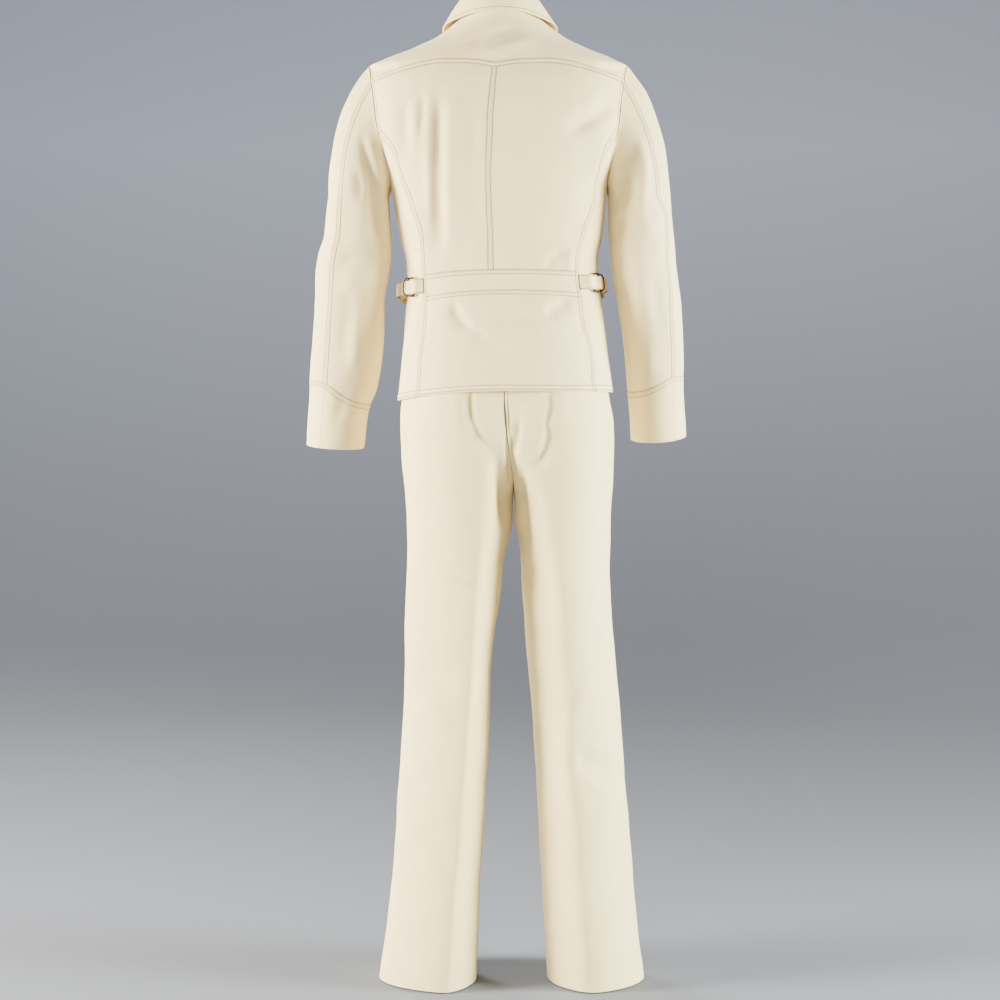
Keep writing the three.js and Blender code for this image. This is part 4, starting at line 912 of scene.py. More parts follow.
def spread(start_lengths, end_lengths, lengths, start, end, stops, step):
    """Shares of the way across a panel of mean size: the start's and end's distances from its two edges,
    and between them an even run from stop to stop."""
    first = start / np.mean(start_lengths)
    last = 1 - end[::-1] / np.mean(end_lengths)
    bounds = [first[-1], *stops, last[0]]
    parts = [first]
    for low, high in zip(bounds[:-1], bounds[1:]):
        count = max(2, int(np.ceil(np.mean(lengths) * (high - low) / step)))
        parts.append(np.linspace(low, high, count + 1)[1:])
    return np.concatenate([*parts, last[1:]])


def run_lengths(points, axis):
    """The length of each row or column of a grid of points."""
    return np.linalg.norm(np.diff(points, axis=axis), axis=-1).sum(axis)


LEAST_SLANT = 0.45


def slant(points, axis, at):
    """How square the lines of a grid meet one of its edges: the sine of the angle between them, as a mean
    over three lines."""
    grid = points if axis == 1 else points.swapaxes(0, 1)
    border = grid[:, 0] if at == 0 else grid[:, -1]
    inward = unit(grid[:, 2] - border if at == 0 else grid[:, -3] - border)
    tangent = unit(np.gradient(border, axis=0))
    sine = np.linalg.norm(np.cross(inward, tangent), axis=-1)
    kernel = np.ones(3) / 3
    return np.clip(np.convolve(np.pad(sine, 1, mode="edge"), kernel, "valid"), LEAST_SLANT, 1)


SIDE_NAMES = ("bottom", "top", "left", "right")
COARSE = 41  # the lines each way of the grid on which a panel's lengths are taken


def weave_grid(surface, layout, kinds, step, stops_u=(), stops_v=()):
    """The places of a panel's mesh, and each line's distance from each of the four edges."""
    bottom, top, left, right = (band(kind) for kind in kinds)
    t = np.linspace(0, 1, COARSE)
    coarse = layout(*np.meshgrid(t, t))
    points = surface(coarse[..., 0], coarse[..., 1])
    wide, tall = run_lengths(points, 1), run_lengths(points, 0)
    lengths = [across * slant(points, axis, at) for axis, across in enumerate((tall, wide)) for at in (0, 1)]
    u_plain = spread(lengths[2], lengths[3], wide, left, right, stops_u, step)
    v_plain = spread(lengths[0], lengths[1], tall, bottom, top, stops_v, step)
    low, high = (np.interp(u_plain, t, length) for length in lengths[:2])
    near, far = (np.interp(v_plain, t, length) for length in lengths[2:])

    def from_start(marks, plain):
        return np.concatenate([marks, np.full(len(plain) - len(marks), FAR)])

    distance = {"bottom": from_start(bottom, v_plain), "top": from_start(top, v_plain)[::-1],
                "left": from_start(left, u_plain), "right": from_start(right, u_plain)[::-1]}
    u = spread_to(near, far, left, right, u_plain)
    v = spread_to(low, high, bottom, top, v_plain).T
    return layout(u, v), distance


def spread_to(start_length, end_length, start, end, plain):
    """A row of shares for each length: the plain row, with its two ends moved to keep their distances and
    what lies between moved in proportion."""
    first, last = start / start_length[:, None], 1 - end[::-1] / end_length[:, None]
    inner = plain[len(start):-len(end)]
    low, high = plain[len(start) - 1], plain[-len(end)]
    share = (inner - low) / (high - low)
    return np.concatenate([first, mix(first[:, -1:], last[:, :1], share), last], 1)


FOLD = {"depth": 1.5, "rise": (-0.12, 0.3), "fall": (0.7, 1.12), "seen": (0.05, 0.35)}


def fold_height(folds, points, normals):
    """How far the cloth stands off in its folds. A fold is a bowed line seen from its side of the suit: its
    height falls away as a bell to each side, and tapers to nothing over the ends of its run. Every fold is
    made deeper than its table's height by one factor."""
    height = np.zeros(points.shape[:-1])
    x, z = points[..., 0], points[..., 2]
    for x1, z1, x2, z2, bow, tall, left, right, face in zip(*folds.values()):
        run = np.array([x2 - x1, z2 - z1])
        length = float(np.hypot(*run))
        run = run / length
        t = ((x - x1) * run[0] + (z - z1) * run[1]) / length
        off = (x - x1) * run[1] - (z - z1) * run[0] - 4 * bow * t * (1 - t)
        taper = smooth(t, *FOLD["rise"]) * (1 - smooth(t, *FOLD["fall"]))
        seen = smooth(normals[..., 1] * face, *FOLD["seen"])
        height += tall * np.exp(-((off / np.where(off > 0, left, right)) ** 2)) * taper * seen
    return FOLD["depth"] * height


WAVES = np.random.default_rng(7).uniform(-1, 1, (14, 4))
WAVE = {"length": 150, "finer": 0.75, "lower": 0.9}  # the first wave, and the powers of the rest


def rumple(points, size):
    """The small unevenness of cloth: a sum of sines over the three coordinates, each with its own direction
    and start, and lower where it is finer."""
    total = np.zeros(points.shape[:-1])
    for i, (a, b, c, start) in enumerate(WAVES):
        length = WAVE["length"] / (1 + i) ** WAVE["finer"]
        phase = (points @ (np.array([a, b, c]) * 2 * np.pi / length)) + start * np.pi
        total += np.sin(phase) / (1 + i) ** WAVE["lower"]
    return total * size


def new_mesh(name, points, faces, material, uv=None):
    """A mesh object at the origin, on the suit's one body. Points are in millimetres, and uv is one pair of
    metres for each point."""
    mesh = bpy.data.meshes.new(name)
    mesh.from_pydata((points.reshape(-1, 3) * MM).tolist(), [], np.asarray(faces).tolist())
    if uv is not None:
        layer = mesh.uv_layers.new(name="cut")
        corner = np.empty(len(mesh.loops), np.int32)
        mesh.loops.foreach_get("vertex_index", corner)
        layer.data.foreach_set("uv", uv[corner].astype(np.float32).ravel())
    mesh.shade_smooth()
    mesh.materials.append(material)
    piece = bpy.data.objects.new(name, mesh)
    bpy.context.scene.collection.objects.link(piece)
    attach(piece, "root")
    return piece


def grid_faces(rows, columns, start=0, turned=False):
    """The quads of a grid of points, numbered row by row."""
    at = start + np.arange(rows * columns).reshape(rows, columns)
    quads = np.stack([at[:-1, :-1], at[:-1, 1:], at[1:, 1:], at[1:, :-1]], -1).reshape(-1, 4)
    return quads[:, ::-1] if turned else quads


def ring_faces(at):
    """The quads between rings of points, by the points' numbers: each ring closes, and joins the next."""
    ahead = np.roll(at, -1, 1)
    return np.stack([at[:-1], ahead[:-1], ahead[1:], at[1:]], -1).reshape(-1, 4)


TURNED = [0, 3, 2, 1]  # the corners of a quad the other way round


def shell_faces(rows, columns):
    """The quads of an outer grid, an inner grid after it, and the rim that joins them."""
    at = np.arange(rows * columns).reshape(rows, columns)
    rim = np.concatenate([at[0, :], at[1:, -1], at[-1, -2::-1], at[-2:0:-1, 0]])
    rim_in = rim + rows * columns
    walls = np.stack([rim, rim_in, np.roll(rim_in, -1), np.roll(rim, -1)], -1)
    inner = grid_faces(rows, columns, rows * columns, True)
    return np.concatenate([grid_faces(rows, columns), inner, walls])


def cut_lengths(points):
    """Each point's place on the flat cut in metres: how far it is along its row and up its column, both
    from the middle of the grid."""
    along_row, up_column = length_along(points, 1), length_along(points, 0)
    rows, columns = along_row.shape
    return np.stack([along_row - along_row[:, [columns // 2]], up_column - up_column[[rows // 2]]], -1) * MM


# how much a raised edge puckers, and the directions of the two sines that it puckers by
PUCKER = {"size": 0.35, "short": (0.52, 0.47, 0.55), "long": (-0.21, 0.17, 0.27)}


def sew_panel(
    name, surface, layout, kinds, folds=None, step=6.0, wall=WALL, flip=False, rumpling=0.5,
    stops_u=(), stops_v=(),
):
    """One panel of the suit: a closed shell over a surface. `layout` turns shares across and up the panel
    into places, and `kinds` says what its bottom, top, left and right edges do. `flip` is for a surface
    whose left-to-right and upward steps turn inward. A raised edge is puckered by a product of two sines."""
    places, distance = weave_grid(surface, layout, kinds, step, stops_u, stops_v)
    base = surface(places[..., 0], places[..., 1])
    out = facing(surface, places) * (-1 if flip else 1)
    folded = rumple(base, rumpling) + (fold_height(folds, base, out) if folds is not None else 0)
    raised, sunk = 0, 0
    for side_name, kind in zip(SIDE_NAMES, kinds):
        line = distance[side_name]
        up, down = profile(kind, line[:, None] if side_name in ("bottom", "top") else line[None, :])
        raised, sunk = np.maximum(raised, up), np.minimum(sunk, down)
    waves = np.sin(base @ np.array(PUCKER["short"])) * np.sin(base @ np.array(PUCKER["long"]))
    outer = base + out * (folded + raised * (1 + PUCKER["size"] * waves) + sunk)[..., None]
    inner = base + out * (folded - wall)[..., None]
    # painted shade: 1 where the face is sunk by a whole stitch dip or by its rolled rim, and less where it
    # is sunk less
    uv, dip_shade_mask = cut_lengths(base), np.clip(-sunk / DIP["depth"], 0, 1) * np.ones(base.shape[:2])
    keep_rows(outer, out, distance, kinds)
    if flip:
        outer, inner, uv, dip_shade_mask = outer[:, ::-1], inner[:, ::-1], uv[:, ::-1], dip_shade_mask[:, ::-1]
    slot = name.split("_")[0] + "_cloth"
    points = np.concatenate([outer.reshape(-1, 3), inner.reshape(-1, 3)])
    piece = new_mesh(name, points, shell_faces(*base.shape[:2]), materials[slot],
                     np.concatenate([uv.reshape(-1, 2)] * 2))
    # the painted shade is stored on the outer face's points, and none on the inner face
    painted_dip_shade = piece.data.attributes.new("painted_dip_shade", "FLOAT", "POINT")
    painted_dip_shade.data.foreach_set("value", np.concatenate([dip_shade_mask.ravel(), 0 * dip_shade_mask.ravel()]).astype(np.float32))
    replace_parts(piece, name)
    declare_cut(base)


LEAST_FILL = 0.31  # of its width by its length, the least that a cut's area is taken to be


def declare_cut(base):
    """Works out what the panel was cut to: the longest row by the longest column, and the area of its grid.
    Nothing keeps or passes on these numbers.
    """
    width, length = float(run_lengths(base, 1).max()) * MM, float(run_lengths(base, 0).max()) * MM
    a, b = base[1:, 1:] - base[:-1, :-1], base[1:, :-1] - base[:-1, 1:]
    area = float(np.linalg.norm(np.cross(a, b), axis=-1).sum()) / 2 * MM * MM
    area = min(max(area, LEAST_FILL * width * length), width * length)
    flat = (round(width, 3), round(length, 3))
    area = min(round(area, 5), flat[0] * flat[1])


stitch_rows = []


def keep_rows(points, out, distance, kinds):
    """Keeps the lines of a panel along which its stitched rows run. Where the next edge has a row at the
    same distance the two turn the corner together, and elsewhere a row runs right to the seam."""
    def line_at(name, row):
        return int(np.argmin(np.abs(distance[name] - row)))

    for k, (name, kind) in enumerate(zip(SIDE_NAMES, kinds)):
        beside = (2, 3) if k < 2 else (0, 1)
        for row in kind["rows"]:
            ends = [0, len(distance[SIDE_NAMES[beside[0]]]) - 1]
            for end, other in enumerate(beside):
                if row in kinds[other]["rows"]:
                    ends[end] = line_at(SIDE_NAMES[other], row)
            run = slice(ends[0], ends[1] + 1)
            line = (line_at(name, row), run) if k < 2 else (run, line_at(name, row))
            stitch_rows.append((points[line], out[line]))


SQUARE = np.radians([45, 135, 225, 315])
STITCH = {"pitch": 3.1, "length": 2.55, "radius": 0.4, "most_in_mesh": 3000}
STITCH_RINGS = table(
    "at radius height",
    (-0.5, 0.45, -0.12), (-0.27, 1, 0.2), (0.27, 1, 0.2), (0.5, 0.45, -0.12),
)


def sew_stitches():
    """Short threads end to end along every row: each has four square rings on the row's line, with its ends
    thinner and drawn into the cloth."""
    centres, sides, ups = [], [], []
    for line, out in stitch_rows:
        run = length_along(line)
        count = max(1, int(run[-1] / STITCH["pitch"]))
        middle = (np.arange(count) + 0.5) * run[-1] / count
        at = middle[:, None] + STITCH_RINGS["at"] * STITCH["length"]
        centre, up = placed(line, run, at), unit(placed(out, run, at))
        centres.append(centre)
        ups.append(up)
        sides.append(unit(np.cross(unit(centre[:, -1] - centre[:, 0])[:, None], up)))
    centre, side, up = (np.concatenate(part)[:, :, None] for part in (centres, sides, ups))
    radius = STITCH["radius"] * STITCH_RINGS["radius"][:, None, None]
    angle = SQUARE[:, None]
    points = (centre + up * STITCH_RINGS["height"][:, None, None] + side * np.cos(angle) * radius
              + up * np.sin(angle) * radius)
    ring = np.arange(points[0, ..., 0].size).reshape(points.shape[1:3])
    one = np.concatenate([ring_faces(ring), ring[:1, ::-1], ring[-1:]])
    for k, first in enumerate(range(0, len(points), STITCH["most_in_mesh"])):
        part = points[first:first + STITCH["most_in_mesh"]]
        faces = (one + ring.size * np.arange(len(part))[:, None, None]).reshape(-1, 4)
        new_mesh(f"jacket_stitches_{k + 1}", part, faces, materials["thread"])


# ---- The jacket ----


def sew_back():
    """Two back panels, the belt, the skirt below it and the yoke."""
    steps = BACK_STEPS
    half, tall = steps["half"], steps["body"] + steps["armhole"]
    for side, name in SIDES.items():
        flank = edge((side_back_upper(side), steps["body"]),
                     (armhole_run(side, SIDE_BACK_START, YOKE_END), steps["armhole"]))
        middle = edge((centre_seam, tall))
        yoke = edge((lambda t, s=side: yoke_place(s, 1 - t if s > 0 else t), half))
        belt = edge((round_run(*by_side(side, BELT_ENDS[side][0], CENTRE_TOP), belt_top), half))
        sew_panel(f"jacket_back_{name}", body_form, filled(belt, yoke, *by_side(side, flank, middle)),
                  (BELT_TOP_ABOVE, PLAIN, OPEN_SEAM, OPEN_SEAM), JACKET_FOLDS, step=4.5,
                  stops_v=(steps["body"] / tall,))

    def round_belt(height, k, centre):
        return edge((round_run(BELT_ENDS[1][k], centre, height), half),
                    (round_run(centre, BELT_ENDS[-1][k], height), half))

    def sides(run, count):
        return [edge((run(side), count)) for side in SIDES]

    top, foot = round_belt(belt_top, 0, CENTRE_TOP), round_belt(belt_bottom, 1, CENTRE_BOTTOM)
    sew_panel("jacket_back_belt", body_form, filled(foot, top, *sides(side_back_belt, steps["belt"])),
              (BELT_FOOT_ABOVE, BELT_TOP_BELOW, OPEN_SEAM, OPEN_SEAM), JACKET_FOLDS, step=4)
    hem = edge((lambda t: (mix(side_turn(1, HEM_LEVEL), side_turn(-1, HEM_LEVEL), t), HEM_LEVEL), 2 * half))
    sew_panel("jacket_back_skirt", body_form, filled(hem, foot, *sides(side_back_skirt, steps["skirt"])),
              (HEM, BELT_FOOT_BELOW, OPEN_SEAM, OPEN_SEAM), JACKET_FOLDS, step=4.5)
    lower = edge((lambda t: yoke_place(1, 1 - t), half), (lambda t: yoke_place(-1, t), half))
    upper = edge((shoulder(1, 1, 0), steps["shoulder"]), (round_run(0, 180, neck_level), steps["neck"]),
                 (shoulder(-1, 0, 1), steps["shoulder"]))
    ends = sides(lambda side: armhole_run(side, YOKE_END, 0), steps["armhole"])
    neck_ends = (steps["shoulder"] / (2 * half), (2 * half - steps["shoulder"]) / (2 * half))
    sew_panel("jacket_back_yoke", body_form, filled(lower, upper, *ends),
              (YOKE_LAP, PLAIN, ARMHOLE_EDGE, ARMHOLE_EDGE), JACKET_FOLDS, step=4, stops_u=neck_ends)


def sew_side(side):
    """One side panel, from the side back seam round to the side seam."""
    wide, tall = SIDE_STEPS["wide"], SIDE_STEPS["tall"]
    skirt, belt = BACK_STEPS["skirt"], BACK_STEPS["belt"]
    back = edge((side_back_skirt(side), skirt), (side_back_belt(side), belt),
                (side_back_upper(side), BACK_STEPS["body"]))
    front = edge((side_seam(side), tall))
    turns = by_side(side, from_side(side, SIDE_SEAM_TURN), side_turn(side, HEM_LEVEL))
    hem = edge((lambda t: (mix(*turns, t), HEM_LEVEL), wide))
    top = edge((armhole_run(side, *by_side(side, SIDE_SEAM_START, SIDE_BACK_START)), wide))
    sew_panel(f"jacket_side_{SIDES[side]}", body_form, filled(hem, top, *by_side(side, front, back)),
              (HEM, ARMHOLE_EDGE, *by_side(side, PLAIN, OPEN_SEAM)), JACKET_FOLDS, step=4.5,
              stops_v=(skirt / tall, (skirt + belt) / tall))


CHEST_LEVEL = -330
CHEST_POWER = 1.3
LAP_FADE = (-60, -18)  # where the under front's drop begins, and where it is whole


def lap_drop(x):
    """How far a place on the under front lies inside the body, near the middle."""
    return LAP_DROP * smooth(x, *LAP_FADE)


def lap_turn(side, x, z):
    """The turn of a place near the closing: x is its distance past the middle, toward its own side."""
    return -turn_at(x, z) if side > 0 else 360 - turn_at(-x, z)


def on_edge(side, z):
    """A place on the free edge of one front."""
    return lap_turn(side, -LAP, z), z


def sew_front(side):
    """One front, from its free edge past the middle round to its side seam, armhole and shoulder."""
    lap, neck, shoulder_steps, tall, round_arm = FRONT_STEPS.values()
    rest = neck + shoulder_steps
    neck_foot = NECK_SIDE - NECK_FRONT_DROP

    def over_lap(level):
        return lambda t: lap_turn(side, mix(-LAP, LAP, t), level)

    def from_lap(level, end):
        return lambda t: mix(lap_turn(side, LAP, level), end, t)

    def on_neck(turn_at_share):
        return lambda t: (turn_at_share(t), neck_level(turn_at_share(t)))

    def on_hem(turn_at_share):
        return lambda t: (turn_at_share(t), HEM_LEVEL)

    def chest(t):
        return 1 - (1 - t) ** CHEST_POWER

    hem = edge((on_hem(over_lap(HEM_LEVEL)), lap),
               (on_hem(from_lap(HEM_LEVEL, from_side(side, SIDE_SEAM_TURN))), rest))
    top = edge((on_neck(over_lap(neck_foot)), lap), (on_neck(from_lap(neck_foot, from_side(side, 0))), neck),
               (shoulder(side, 0, 1), shoulder_steps))
    opening = edge((lambda t: on_edge(side, mix(HEM_LEVEL, CHEST_LEVEL, t)), tall),
                   (lambda t: on_edge(side, mix(CHEST_LEVEL, float(top[0, 1]), chest(t))), round_arm))
    seam = edge((side_seam(side), tall),
                (lambda t: armhole(side, mix(SIDE_SEAM_START, 360, chest(t))), round_arm))

    def share(u):
        turn = np.interp(u, np.linspace(0, 1, len(hem)), hem[:, 0])
        return (turn - hem[0, 0]) / (hem[-1, 0] - hem[0, 0])

    def surface(turn, z):
        points = body_form(turn, z)
        if side < 0:
            points[..., 1] += lap_drop(points[..., 0] - body["shift"](z))
        return points

    whole = lap + rest
    sew_panel(f"jacket_front_{SIDES[side]}", surface, filled(hem, top, opening, seam, share),
              (HEM, PLAIN, HEM, ARMHOLE_EDGE), JACKET_FOLDS, step=5, flip=side < 0,
              stops_u=(lap / whole, (lap + neck) / whole), stops_v=(tall / (tall + round_arm),))


def stand_form(turn, rise):
    """The collar stand: the neck seam carried up and drawn in evenly, by hundredths of its height."""
    foot = body_form(turn, neck_level(turn))
    height = mix(STAND["front"], STAND["back"], (1 + np.sin(np.radians(turn))) / 2)
    share = rise / 100
    inward = 1 - STAND["lean"] * share
    drop = np.where(turn > 180, lap_drop(foot[..., 0]) * (1 - share), 0)
    return xyz(foot[..., 0] * inward, (foot[..., 1] + drop) * inward,
               foot[..., 2] + STAND["gap"] + height * share)


ROLL_OVER = {"radius": 4.0, "middle": 1.1, "sweep": 165, "rise": 20}  # where the leaf turns over the stand


def leaf_form(turn, rise):
    """The collar leaf. From 0 to 100 it goes straight from its outer edge to the fold, with a swell in the
    middle, and stands clear of the chest in front. Past 100 it turns over the stand in a part circle."""
    turn, rise = np.broadcast_arrays(np.asarray(turn, float), np.asarray(rise, float))
    share = np.abs(turn - 90) / STAND["end"]
    out = facing(stand_form, np.stack([turn, 0 * turn + LEAF["leans"]], -1))
    crown = stand_form(turn, 0 * turn + 100)
    fold = crown + out * LEAF["out"]
    fold[..., 2] = crown[..., 2] + LEAF["up"]
    place = np.where(turn < 90, leaf_edge["turn"](share), 180 - leaf_edge["turn"](share))
    outer = lifted(place, leaf_edge["z"](share), leaf_edge["lift"](share))
    t = np.clip(1 - rise / 100, 0, 1)[..., None]
    leaf = mix(fold, outer, t) + out * LEAF["bulge"] * np.sin(np.pi * t)
    flat = unit(out * np.array([1, 1, 0]))
    angle = np.radians(ROLL_OVER["sweep"]) * np.clip((rise - 100) / ROLL_OVER["rise"], 0, 1)[..., None]
    radius = LEAF["out"] + ROLL_OVER["middle"]
    over = flat * (radius * (np.cos(angle) - 1)) + np.array([0, 0, 1]) * ROLL_OVER["radius"] * np.sin(angle)
    points = leaf + over
    x, z = points[..., 0], points[..., 2]
    width = np.minimum(np.abs(x - body["shift"](z)) / body["half"](z), 1)
    square = body["square"](z)
    chest = -body["front"](z) * (1 - width ** square) ** (1 / square)
    clear = np.minimum(points[..., 1], chest - LEAF["clear"])
    eased = smooth(t[..., 0], LEAF["clear_from"], LEAF["clear_by"])
    points[..., 1] = mix(points[..., 1], clear, np.where((turn > 0) & (turn < 180), 0, eased))
    return points


def sew_collar():
    """The stand round the neck, and the leaf that folds over it."""
    ends = 90 - STAND["end"], 90 + STAND["end"]

    def layout(low, high):
        return lambda u, v: np.stack([mix(*ends, u), mix(low, high, v)], -1)

    stops = tuple((turn - ends[0]) / (ends[1] - ends[0]) for turn in (0, 90, 180))
    sew_panel("jacket_collar_stand", stand_form, layout(0, 100), (PLAIN,) * 4, step=5, wall=DOUBLE_WALL,
              rumpling=0.2, stops_u=stops)
    fold_share = 100 / (100 + ROLL_OVER["rise"])
    sew_panel("jacket_collar_leaf", leaf_form, layout(0, 100 + ROLL_OVER["rise"]),
              (COLLAR_EDGE, PLAIN, COLLAR_EDGE, COLLAR_EDGE), step=4, wall=DOUBLE_WALL, rumpling=0.35,
              stops_u=stops, stops_v=(fold_share, (1 + fold_share) / 2))


# ---- Sleeves ----
# `round` is in degrees: 0 the arm's outermost line, 90 its back, 180 its inner side.

arm = curves(ARM_CUTS, "z")
arm_seam = curves(ARM_SEAMS, "z")
cuff_drop = through(CUFF_EDGE, "round", "drop")
ARM_STEP = 20  # up and down, to find which way the arm runs


def arm_run(side, z):
    """The way the middle of the arm runs at a height: sideways and backward per millimetre down."""
    lines = arm[f"{SIDES[side]}_x"], arm["y"]
    return [(line(z - ARM_STEP) - line(z + ARM_STEP)) / (2 * ARM_STEP) for line in lines]


def arm_ring(side, round_, z):
    """A ring square to the arm: an ellipse whose girth is given, by its half width."""
    half = arm[f"{SIDES[side]}_half"](z)
    depth = np.sqrt(2 * (arm["girth"](z) / (2 * np.pi)) ** 2 - half ** 2)
    aside = side * half * np.cos(np.radians(round_))
    back = depth * np.sin(np.radians(round_))
    run = arm_run(side, z)
    return xyz(arm[f"{SIDES[side]}_x"](z) + aside, arm["y"](z) + back, z + run[0] * aside + run[1] * back)


def sleeve_form(side):
    """One sleeve: rings down the arm, and above them a cap, where each line leaves the armhole outward and
    bends down into the first ring as a cubic with a given direction at both ends."""
    def surface(round_, level):
        round_, level = np.broadcast_arrays(np.asarray(round_, float), np.asarray(level, float))
        t = np.clip((level - SHOULDER_TIP) / (CAP_END - SHOULDER_TIP), SLEEVE_START["past"], 1)[..., None]
        start = lifted(*armhole(side, round_), SLEEVE_START["lift"])
        end = arm_ring(side, round_, np.full(round_.shape, float(CAP_END)))
        reach = np.linalg.norm(end - start, axis=-1, keepdims=True)
        upper = (1 + np.cos(np.radians(round_))) / 2
        leave = unit(xyz(side * mix(*SLEEVE_START["out"], upper), 0, -mix(*SLEEVE_START["down"], upper)))
        arrive = unit(np.array([*arm_run(side, CAP_END), -1.0]))
        cap = cubic(start + leave * SLEEVE_START["ahead"], end, leave * reach, arrive * reach, t)
        ring = arm_ring(side, round_, np.minimum(level, CAP_END))
        return np.where((level > CAP_END)[..., None], cap, ring)

    return surface


def cuff_level(side, round_):
    """The height of the cuff seam."""
    return CUFF_PEAK - side * ARM_HANG - cuff_drop(round_)


def sew_sleeve(side):
    """The top and under sleeve of one arm, and the two parts of its cuff."""
    name = SIDES[side]
    surface = sleeve_form(side)
    below = 5 / 9  # the share of a sleeve's rows below its cap
    sleeve_end = SLEEVE_END - side * ARM_HANG

    for part in ("under", "top"):
        def rounds(level, u, part=part):
            back, under = arm_seam[name](level), arm_seam["under"](level)
            return mix(back, under, u) if part == "under" else mix(under - 360, back, u)

        def sleeve(u, v):
            low = np.clip(1 - v / below, 0, 1)
            cap = mix(CAP_END, SHOULDER_TIP, (v - below) / (1 - below))
            plain = np.where(v < below, mix(CAP_END, CUFF_PEAK, low), cap)
            drop = cuff_level(side, rounds(CUFF_PEAK, u)) - CUFF_PEAK
            return np.stack([rounds(plain, u), plain + low * drop], -1)

        def cuff(u, v):
            round_ = rounds(CUFF_PEAK, u)
            return np.stack([round_, mix(sleeve_end, cuff_level(side, round_), v)], -1)

        seams = (OPEN_SEAM, PLAIN) if part == "under" else (PLAIN, OPEN_SEAM)
        sew_panel(f"jacket_{part}_sleeve_{name}", surface, sleeve, (OPEN_SEAM, SLEEVE_HEAD, *seams),
                  SLEEVE_FOLDS, step=5, flip=side < 0, stops_v=(below,), rumpling=0.6)
        sew_panel(f"jacket_{part}_cuff_{name}", surface, cuff, (PLAIN, OPEN_SEAM, PLAIN, PLAIN),
                  SLEEVE_FOLDS, step=5, flip=side < 0, wall=DOUBLE_WALL)


# ---- Side fastenings ----

strap_run = curves(STRAP_RUN, "share")
tab_run = curves(TAB_RUN, "share")
STRAP_STOPS = STRAP_RUN["share"][4:11]  # the rows of each table at its bend, where the mesh has a line
TAB_STOPS = TAB_RUN["share"][3:8]
TAB_FOLD = 4  # the row at which the tab begins to fold back
THOUSAND = 1000  # a band's first number is a thousandth of its run


def strap_form(side):
    """The strap's ring-side face: a place round the flank, its lift and its drop, all by its run."""
    def surface(run, width):
        share = np.clip(run / THOUSAND, 0, 1)
        level = TAB_LEVEL - strap_run["drop"](share) + width
        return lifted(from_side(side, strap_run["turn"](share)), level, strap_run[SIDES[side]](share))

    return surface


def tab_form(side):
    """The belt end's outer face, from the side back seam over the rings' bars and back beneath them. Up to
    its fold it is drawn out or in so that it starts just past the seam."""
    seam_turn = from_side(side, side_turn(side, TAB_LEVEL))
    fold_share, fold_turn = TAB_RUN["share"][TAB_FOLD], TAB_RUN["turn"][TAB_FOLD]
    drawn = (seam_turn - 1 - fold_turn) / (TAB_RUN["turn"][0] - fold_turn)

    def surface(run, width):
        share = np.clip(run / THOUSAND, 0, 1)
        turn = tab_run["turn"](share)
        turn = np.where(share < fold_share, fold_turn + (turn - fold_turn) * drawn, turn)
        return lifted(from_side(side, turn), TAB_LEVEL + width, tab_run["lift"](share))

    return surface


def sew_fastening(side):
    """One side's strap and belt end, and its two rings."""
    name = SIDES[side]

    def layout(half):
        return lambda u, v: np.stack([THOUSAND * u, mix(-half, half, v)], -1)

    sew_panel(f"jacket_strap_{name}", strap_form(side), layout(STRAP_HALF),
              (STRAP_EDGE, STRAP_EDGE, PLAIN, STRAP_EDGE), step=2.5, wall=DOUBLE_WALL, flip=side < 0,
              rumpling=0.25, stops_u=STRAP_STOPS)
    sew_panel(f"jacket_tab_{name}", tab_form(side), layout(TAB_HALF), (STRAP_EDGE, STRAP_EDGE, PLAIN, PLAIN),
              step=2, flip=side > 0, rumpling=0.1,
              stops_u=TAB_STOPS)
    for ring_name, ring in RINGS.items():
        bend_ring(side, f"jacket_ring_{ring_name}_{name}", ring)


RING_MESH = {"points": 120, "sides": 14, "bar_steps": 100, "bow_steps": 400, "smoothings": 6}


def bend_ring(side, name, ring):
    """A D ring: a straight bar and a bow whose width and height go as powers of the cosine and sine, evenly
    spaced and smoothed at the corners, as the middle of a round wire."""
    bar = np.array([from_side(side, ring["turn"]), float(TAB_LEVEL)])
    out = facing(body_form, bar)
    up = unit(np.array([0, 0, 1.0]) - out * out[2])
    tilt = np.radians(ring["tilt"])
    reach = np.cross(up, out) * -side * np.cos(tilt) + out * np.sin(tilt)
    half, square, steps = RING["half_height"], RING["square"], RING_MESH["bar_steps"]
    angle = np.linspace(np.pi / 2, -np.pi / 2, RING_MESH["bow_steps"])
    ahead = np.concatenate([np.zeros(steps), RING["depth"] * signed_power(np.cos(angle), square)])
    bow = half * signed_power(np.sin(angle), square)
    height = np.concatenate([np.linspace(-half, half, steps + 1)[:-1], bow])
    path = np.stack([ahead, height], -1)
    run = length_along(path)
    path = placed(path, run, np.linspace(0, run[-1], RING_MESH["points"], endpoint=False))
    for _ in range(RING_MESH["smoothings"]):
        path = (np.roll(path, 1, 0) + 2 * path + np.roll(path, -1, 0)) / 4
    middle = lifted(bar[0], bar[1], ring["lift"]) + path[:, :1] * reach + path[:, 1:] * up
    above = unit(np.cross(reach, up))
    aside = unit(np.cross(unit(np.roll(middle, -1, 0) - np.roll(middle, 1, 0)), above))
    turn = np.linspace(0, 2 * np.pi, RING_MESH["sides"], endpoint=False)[:, None]
    points = middle[:, None] + RING["wire"] * (aside[:, None] * np.cos(turn) + above * np.sin(turn))
    at = np.arange(points.shape[0] * points.shape[1]).reshape(points.shape[:2])
    faces = ring_faces(np.concatenate([at, at[:1]]))[:, TURNED]
    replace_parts(new_mesh(name, points, faces, materials["old_brass"]), name)


# ---- Trousers ----
# `across` is in hundredths: 0 the side seam, 50 the crease, 100 the seat, rise or inside leg seam.

